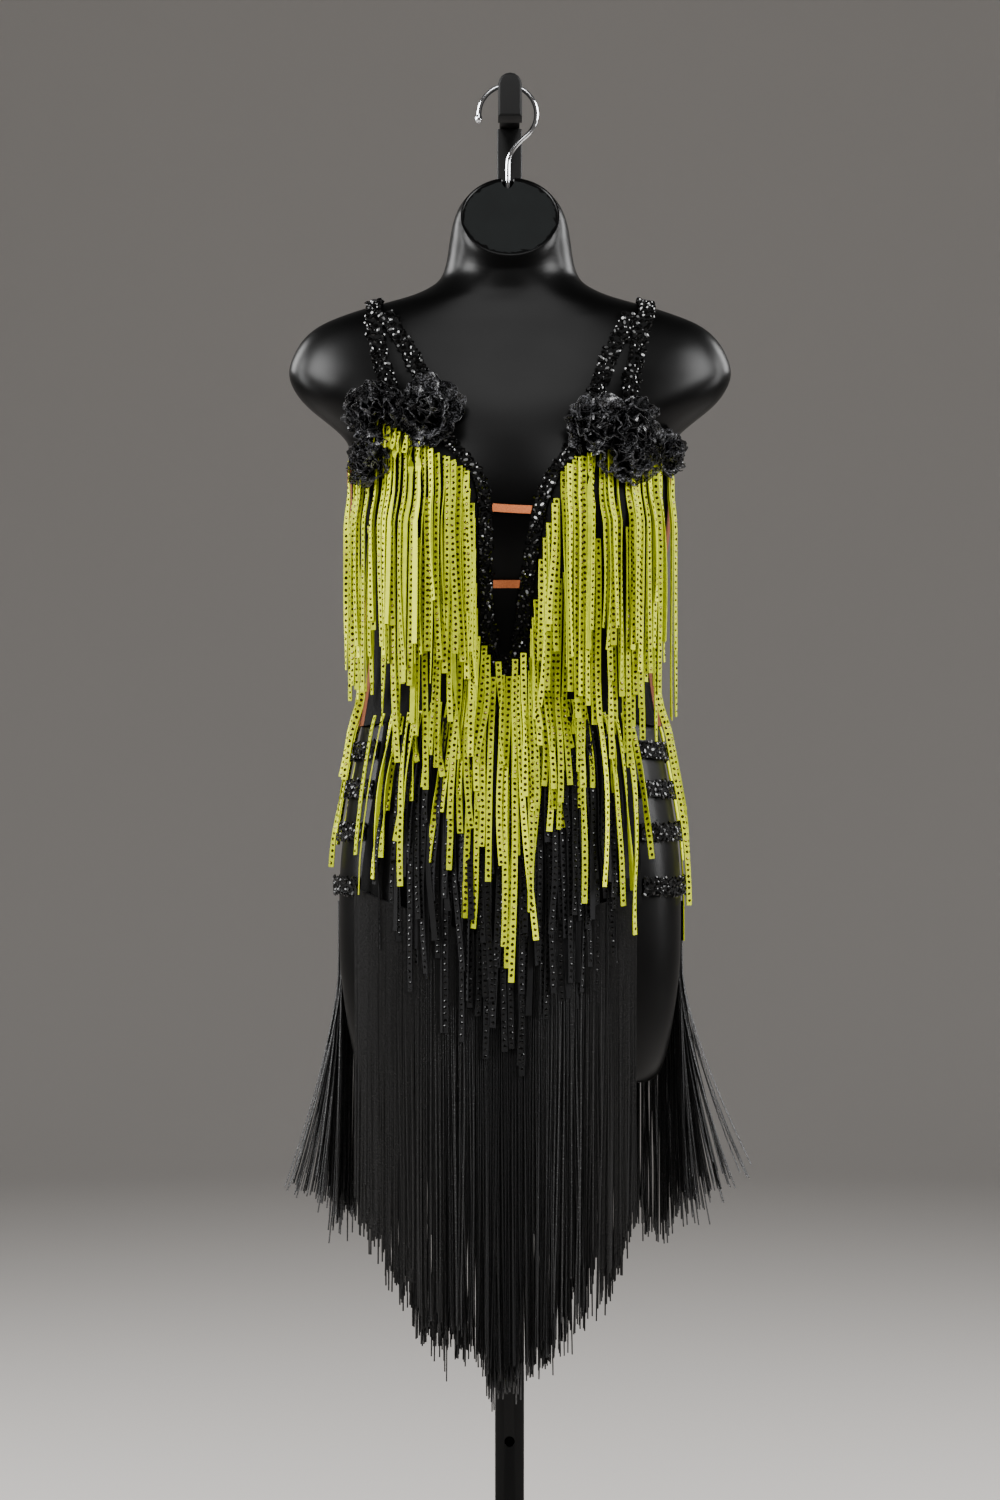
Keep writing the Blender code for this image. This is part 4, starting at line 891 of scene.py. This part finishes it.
def neckline_point():
    """The stone patch that joins both trims at the bottom of the neckline."""
    points = []
    for v in np.linspace(-1, 1, POINT_ROWS + 1):
        for u in np.linspace(-1, 1, POINT_COLUMNS + 1):
            x = POINT_X + POINT_HALF_WIDTH * u * math.sqrt(1 - POINT_ROUNDING * v * v)
            z = POINT_Z + POINT_HALF_HEIGHT * v * math.sqrt(1 - POINT_ROUNDING * u * u)
            turn = skin.turn_at(x, z)
            reach = float(skin.distance(turn, np.array([z]))[0]) + POINT_OVER
            points.append((math.cos(turn) * reach, math.sin(turn) * reach, z))
    patch = new_mesh("neckline_point_cloth", np.array(points), grid_faces(POINT_ROWS + 1, POINT_COLUMNS + 1))
    modify(patch, "SOLIDIFY", thickness=POINT_THICK, offset=0.0)
    smooth(patch)
    dress_up(patch, HUNG, "stretch_crepe")
    cover = scatter_stones(patch, "neckline_point_stones", 150)


PULL_WIDTH = 5 * MM


def pull_lines(piece, rows):
    """Raises soft pulls in a panel: rows of (x, height, lean in degrees, length, ridge in mm)."""
    for vertex in piece.data.vertices:
        _, normal = skin.nearest(vertex.co)
        for x, height, lean, length, ridge in rows:
            dx, dz = vertex.co.x - x, vertex.co.z - height
            lean_to = math.radians(lean)
            run = dx * math.cos(lean_to) + dz * math.sin(lean_to)
            off = -dx * math.sin(lean_to) + dz * math.cos(lean_to)
            vertex.co += normal * ridge * MM * math.exp(-(off / PULL_WIDTH) ** 2 - (run / length) ** 2)


PANELS = (
    # node, surface, slot, cut width, cut length, cut area share, ribbons sewn on it, cords sewn on it
    ("bodice_front_left", "stretch_crepe", "black_cloth", 0.160, 0.235, 0.80,
     ("bust_ribbons_left", "waist_ribbons_left"), ()),
    ("bodice_front_right", "stretch_crepe", "black_cloth", 0.160, 0.235, 0.80,
     ("bust_ribbons_right", "waist_ribbons_right"), ()),
    ("bodice_side_left", "power_mesh", "nude_mesh", 0.105, 0.235, 0.93, (), ()),
    ("bodice_side_right", "power_mesh", "nude_mesh", 0.105, 0.235, 0.93, (), ()),
    ("bodice_back", "stretch_crepe", "black_cloth", 0.270, 0.220, 0.90, (), ()),
    ("skirt_front", "stretch_crepe", "black_cloth", 0.290, 0.230, 0.80,
     ("skirt_ribbons_front", "black_ribbons_front"), ("front_chainette",)),
    ("skirt_back", "stretch_crepe", "black_cloth", 0.370, 0.180, 0.90,
     ("skirt_ribbons_back",), ("back_chainette",)),
)

BACK_PULLS = (
    # x, height, lean, length, ridge
    (-0.060, 1.075, 12, 0.045, 1.0), (0.058, 1.082, -10, 0.050, 1.1), (-0.030, 1.120, 5, 0.060, 0.7),
    (0.080, 1.150, -28, 0.040, 0.8), (-0.088, 1.160, 30, 0.038, 0.8), (0.010, 1.045, 0, 0.070, 0.9),
)


def panels():
    """The bodice and skirt panels, with soft pulls in the back, and the two bars."""
    for source, surface, slot, width, length, share, ribbons, cords in PANELS:
        cloth = finer(source, source + "_cloth", keep=50)
        if source == "bodice_back":
            pull_lines(cloth, BACK_PULLS)
        dress_up(cloth, HUNG, surface, [source])
    for level in ("upper", "lower"):
        source = "neckline_bar_" + level
        bar = finer(source, source + "_elastic", keep=50)
        dress_up(bar, HUNG, "elastic", [source])


# ---------------------------------------------------------------- rosettes

ROSE_PLACES = {
    # node: x, height, radius of the rosette
    "rose_left_1": (-0.1180, 1.3040, 0.0290),
    "rose_left_2": (-0.0720, 1.3000, 0.0310),
    "rose_left_3": (-0.1180, 1.2575, 0.0250),
    "rose_right_1": (0.0745, 1.2860, 0.0300),
    "rose_right_2": (0.1040, 1.2880, 0.0290),
    "rose_right_3": (0.1350, 1.2660, 0.0215),
    "rose_right_4": (0.0990, 1.2580, 0.0275),
}

PETAL_RINGS = (
    # petals, lean from the axis in degrees, root, base height, width and length as shares of the radius
    (6, 80, 0.22, 0.02, 1.10, 0.86),
    (6, 62, 0.20, 0.12, 0.98, 0.80),
    (6, 42, 0.14, 0.18, 0.86, 0.72),
    (5, 20, 0.08, 0.24, 0.72, 0.62),
)
PETAL_COLUMNS, PETAL_ROWS = 17, 10
PETAL_CRUMPLE = (
    # size of the folds, their depth at the rim
    (11 * MM, 6.0 * MM),
    (4 * MM, 2.4 * MM),
)
ORGANZA_THICK = 0.3 * MM
RIM_RADIUS = 0.24 * MM
ROSE_BACKING = 3 * MM        # how far off the skin the inmost part of a rosette is
PETAL_LEAN_SPREAD = 7        # degrees
NOISE_SEED = 7


def petal(place, along_way, across, width, length, chance):
    """A cupped, crumpled petal of organza as a grid of points, its rim last."""
    face = along_way.cross(across)
    curl, cup = 0.16 + 0.20 * chance.random(), 0.14 + 0.14 * chance.random()
    phase, waves = chance.random() * 6, 5.0 + 3.0 * chance.random()
    grid = []
    for r in range(PETAL_ROWS):
        v = r / (PETAL_ROWS - 1)
        spread = width / 2 * (0.38 + 0.62 * math.sin(math.pi * (0.08 + 0.60 * v)))
        row = []
        for c in range(PETAL_COLUMNS):
            u = 2 * c / (PETAL_COLUMNS - 1) - 1
            reach = length * v * (1 - 0.26 * abs(u) ** 2.4)
            raised = cup * width * (u * u - 0.35) * v - curl * length * v ** 3
            raised += 0.09 * width * v * v * math.sin(waves * u + phase)
            point = place + along_way * reach + across * (u * spread) + face * raised
            for fold, depth in PETAL_CRUMPLE:
                point += noise.noise_vector(point / fold) * (depth * v)
            row.append(point[:])
        grid.append(row)
    return grid


def rosette(source, seed):
    """Rings of petals, each leaning further out than the one inside it, with rolled rims."""
    chance = random.Random(seed)
    x, height, radius = ROSE_PLACES[source]
    turn = skin.turn_at(x, height)
    reach = float(skin.distance(turn, np.array([height]))[0])
    middle, out = skin.nearest((math.cos(turn) * reach, math.sin(turn) * reach, height))
    side = Vector((0, 0, 1)).cross(out).normalized()
    up = out.cross(side)
    points, faces, rims = [], [], []
    for count, lean, root, base, width, length in PETAL_RINGS:
        first = chance.random() * 2 * math.pi
        for k in range(count):
            turned = first + 2 * math.pi * (k + 0.3 * chance.random()) / count
            ahead = side * math.cos(turned) + up * math.sin(turned)
            tilt = math.radians(lean + chance.gauss(0, PETAL_LEAN_SPREAD))
            way = ahead * math.sin(tilt) + out * math.cos(tilt)
            size = 0.88 + 0.24 * chance.random()
            start = middle + out * (ROSE_BACKING + base * radius) + ahead * root * radius
            grid = petal(start, way, ahead.cross(out), width * radius * size, length * radius * size, chance)
            faces += grid_faces(PETAL_ROWS, PETAL_COLUMNS, len(points))
            points += [point for row in grid for point in row]
            rims.append(grid[-1])
    piece = new_mesh(source + "_petals", np.array(points), faces)
    modify(piece, "SUBSURF", levels=1, render_levels=1)
    modify(piece, "SOLIDIFY", thickness=ORGANZA_THICK, offset=0.0)
    smooth(piece, 60)
    dress_up(piece, HUNG, "crisp_organza", [source])
    rolled = rim_cords(source + "_rims", rims, out)
    dress_up(rolled, HUNG, "organza_rim")


def rim_cords(name, rims, out):
    """Rolled edges: fine cords that follow the petals' rims."""
    rims = np.array(rims)
    heading = unit(np.gradient(rims, axis=1))
    across = unit(np.cross(heading, np.array(out)))
    above = np.cross(across, heading)
    corners = [math.pi / 2 * k for k in range(4)]
    rings = np.stack([across * math.cos(t) + above * math.sin(t) for t in corners], 2)
    made = tubes(name, rims[:, :, None] + rings * RIM_RADIUS, np.zeros(len(rims)))
    smooth(made, 80)
    return made


def rosettes():
    noise.seed_set(NOISE_SEED)      # unseeded, the noise starts from the clock and differs each run
    names = ["rose_left_%d" % k for k in (1, 2, 3)] + ["rose_right_%d" % k for k in (1, 2, 3, 4)]
    for k, source in enumerate(names):
        rosette(source, 200 + k)


# ---------------------------------------------------------------- form, hook and stand

DISC_CENTRE = Vector((0.0, -0.025, 1.4866))
DISC_RADIUS = 0.0415         # of its matt face, inside the rim
DISC_FACING = Vector((0.0, -math.sin(math.radians(59)), math.cos(math.radians(59))))
HOOK_HOLE = (-0.0020, -0.0010)     # x and y of the hole that takes the hook's stem
HOLE_RADIUS = 6.2 * MM
HOLE_BOTTOM = 1.5020
STEM_DROP = 22 * MM          # how far the stem runs down into the hole
WIRE_SWELL = 0.42 * MM       # what rounding takes off the six-sided wire, given back first
ARM_START = 0.15             # x past which the form is the rounded stump of an arm


def form():
    """The blow-moulded form, with the hook's hole let into the top of its neck disc."""
    moulding = finer("form", "form_moulding", keep=38, within=ARM_START)
    bpy.ops.object.select_all(action="DESELECT")
    depth = 60 * MM
    bpy.ops.mesh.primitive_cylinder_add(vertices=40, radius=HOLE_RADIUS, depth=depth,
                                        location=(*HOOK_HOLE, HOLE_BOTTOM + depth / 2))
    drill = bpy.context.object
    bpy.ops.object.transform_apply(location=True)
    modify(moulding, "BOOLEAN", operation="DIFFERENCE", solver="EXACT", object=drill)
    bpy.data.objects.remove(drill)
    smooth(moulding, 32)
    dress_up(moulding, HUNG, "moulded_polystyrene", ["form"])
    moulding.data.materials.append(bpy.data.materials["etched_polystyrene"])
    for face in moulding.data.polygons:
        on_disc = (face.center - DISC_CENTRE).length < DISC_RADIUS
        face.material_index = int(on_disc and face.normal.dot(DISC_FACING) > 0.98)
    return moulding


def hook():
    """The bent wire, made round again from its six-sided solid, with its stem in the hole."""
    wire = merged_copy("hook", "hook_wire")
    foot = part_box("hook")[0].z
    for vertex in wire.data.vertices:
        if vertex.co.z < foot + 1 * MM:
            vertex.co.z -= STEM_DROP
    bpy.ops.object.mode_set(mode="EDIT")
    bpy.ops.mesh.select_all(action="SELECT")
    bpy.ops.transform.shrink_fatten(value=WIRE_SWELL)
    bpy.ops.object.mode_set(mode="OBJECT")
    modify(wire, "SUBSURF", levels=2, render_levels=2)
    smooth(wire, 80)
    dress_up(wire, HUNG, "chrome_plate", ["hook"])


def stand():
    """The steel stand's pieces with their edges rounded; the tube that slides rides with the form."""
    for source, body, surface, slot, edge in (
            ("base_plate", STAND, "powder_coat", "painted_steel", 1.2 * MM),
            ("outer_tube", STAND, "powder_coat", "painted_steel", 0.3 * MM),
            ("clamp_collar", STAND, "powder_coat", "painted_steel", 0.6 * MM),
            ("clamp_knob", STAND, "moulded_rubber", "rubber", 0.5 * MM),
            ("inner_tube", HUNG, "powder_coat", "painted_steel", 0.3 * MM),
            ("head_arm", HUNG, "powder_coat", "painted_steel", 1.5 * MM),
            ("head_sleeve", HUNG, "moulded_rubber", "rubber", 0.6 * MM)):
        piece = merged_copy(source, source + "_finished")
        modify(piece, "BEVEL", width=edge, segments=2, limit_method="ANGLE", angle_limit=math.radians(40))
        smooth(piece, 35)
        dress_up(piece, body, surface, [source])


# ---------------------------------------------------------------- stage

IMAGE_HEIGHT = 1500          # pixels
METRES_A_PIXEL = 0.00092     # in the plane of the form's axis
CAMERA_DISTANCE = 3.2
CAMERA_X = -0.0092
CAMERA_Z = 0.999
SENSOR = 36.0                # millimetres

STUDIO_RADIUS = 8.5          # of a round studio, so that it looks the same from every side
STUDIO_HEIGHT = 5.5
STUDIO_SWEEP = 3.5           # radius of the curve from floor to wall

SOFTBOXES = (
    # name, place, aim, width, height, watts
    ("left_key", (-2.35, -1.00, 2.25), (0, 0, 1.10), 1.0, 1.6, 145),
    ("right_key", (2.35, -1.00, 2.25), (0, 0, 1.10), 1.0, 1.6, 122),
    ("left_strip", (-2.55, 0.25, 1.75), (0, 0, 1.25), 0.25, 1.8, 45),
    ("right_strip", (2.55, 0.25, 1.75), (0, 0, 1.25), 0.25, 1.8, 40),
    ("front_fill", (0.0, -2.20, 3.30), (0, 0, 1.15), 2.0, 1.4, 50),
    ("left_back", (-2.30, 1.40, 2.30), (0, 0, 1.05), 0.9, 1.3, 50),
    ("right_back", (2.30, 1.40, 2.30), (0, 0, 1.05), 0.9, 1.3, 50),
)
AIR_COLOUR = (1.0, 0.985, 0.97, 1.0)
AIR_STRENGTH = 0.09


def studio():
    """A round floor that curves up into its wall, open at the top."""
    bpy.ops.mesh.primitive_cylinder_add(vertices=128, radius=STUDIO_RADIUS, depth=STUDIO_HEIGHT,
                                        location=(0, 0, STUDIO_HEIGHT / 2))
    sweep = bpy.context.object
    sweep.name = "studio_sweep"
    bpy.ops.object.transform_apply(location=True)
    bpy.ops.object.mode_set(mode="EDIT")
    bpy.ops.mesh.select_mode(type="FACE")
    bpy.ops.mesh.select_all(action="SELECT")
    bpy.ops.mesh.flip_normals()
    bpy.ops.mesh.select_all(action="DESELECT")
    bpy.ops.object.mode_set(mode="OBJECT")
    for face in sweep.data.polygons:
        face.select = face.center.z > STUDIO_HEIGHT - 1 * MM
    bpy.ops.object.mode_set(mode="EDIT")
    bpy.ops.mesh.delete(type="FACE")
    bpy.ops.object.mode_set(mode="OBJECT")
    modify(sweep, "BEVEL", width=STUDIO_SWEEP, segments=32, limit_method="ANGLE",
           angle_limit=math.radians(40))
    bpy.ops.object.shade_smooth()
    sweep.data.materials.append(bpy.data.materials["sweep_paper"])


def softboxes():
    """Large soft lamps at both sides, in front and behind, and a little light from all round."""
    for name, place, aim, width, height, power in SOFTBOXES:
        data = bpy.data.lights.new(name, "AREA")
        data.shape = "RECTANGLE"
        data.size, data.size_y = width, height
        data.energy = power
        lamp = bpy.data.objects.new(name, data)
        lamp.location = place
        lamp.rotation_mode = "QUATERNION"
        lamp.rotation_quaternion = (Vector(aim) - Vector(place)).to_track_quat("-Z", "Y")
        lamp.visible_camera = False
        bpy.context.scene.collection.objects.link(lamp)

    world = bpy.data.worlds.new("studio_air")
    world.use_nodes = True
    air = world.node_tree.nodes["Background"]
    air.inputs["Color"].default_value = AIR_COLOUR
    air.inputs["Strength"].default_value = AIR_STRENGTH
    bpy.context.scene.world = world


def camera():
    """Level with the dress and straight in front of it."""
    lens = bpy.data.cameras.new("camera")
    lens.sensor_width = SENSOR
    lens.lens = SENSOR * CAMERA_DISTANCE / (IMAGE_HEIGHT * METRES_A_PIXEL)
    made = bpy.data.objects.new("camera", lens)
    made.location = (CAMERA_X, -CAMERA_DISTANCE, CAMERA_Z)
    made.rotation_euler = (math.pi / 2, 0, 0)
    bpy.context.scene.collection.objects.link(made)
    bpy.context.scene.camera = made


# ---------------------------------------------------------------- making

materials()
studio()
softboxes()
camera()
STUD = cut_stone(6, 0.50)
JEWEL = cut_stone(8, 0.55, girdle=0.30)
skin = Skin(form())
hook()
stand()
bands()
rosettes()
for side, sign in (("left", -1), ("right", 1)):
    bust_ribbons(side, sign)
    waist_ribbons(side, sign)
front_skirt_ribbons()
back_skirt_ribbons()
black_ribbons()
front_hem()
back_hem()
panels()

bpy.context.view_layer.update()
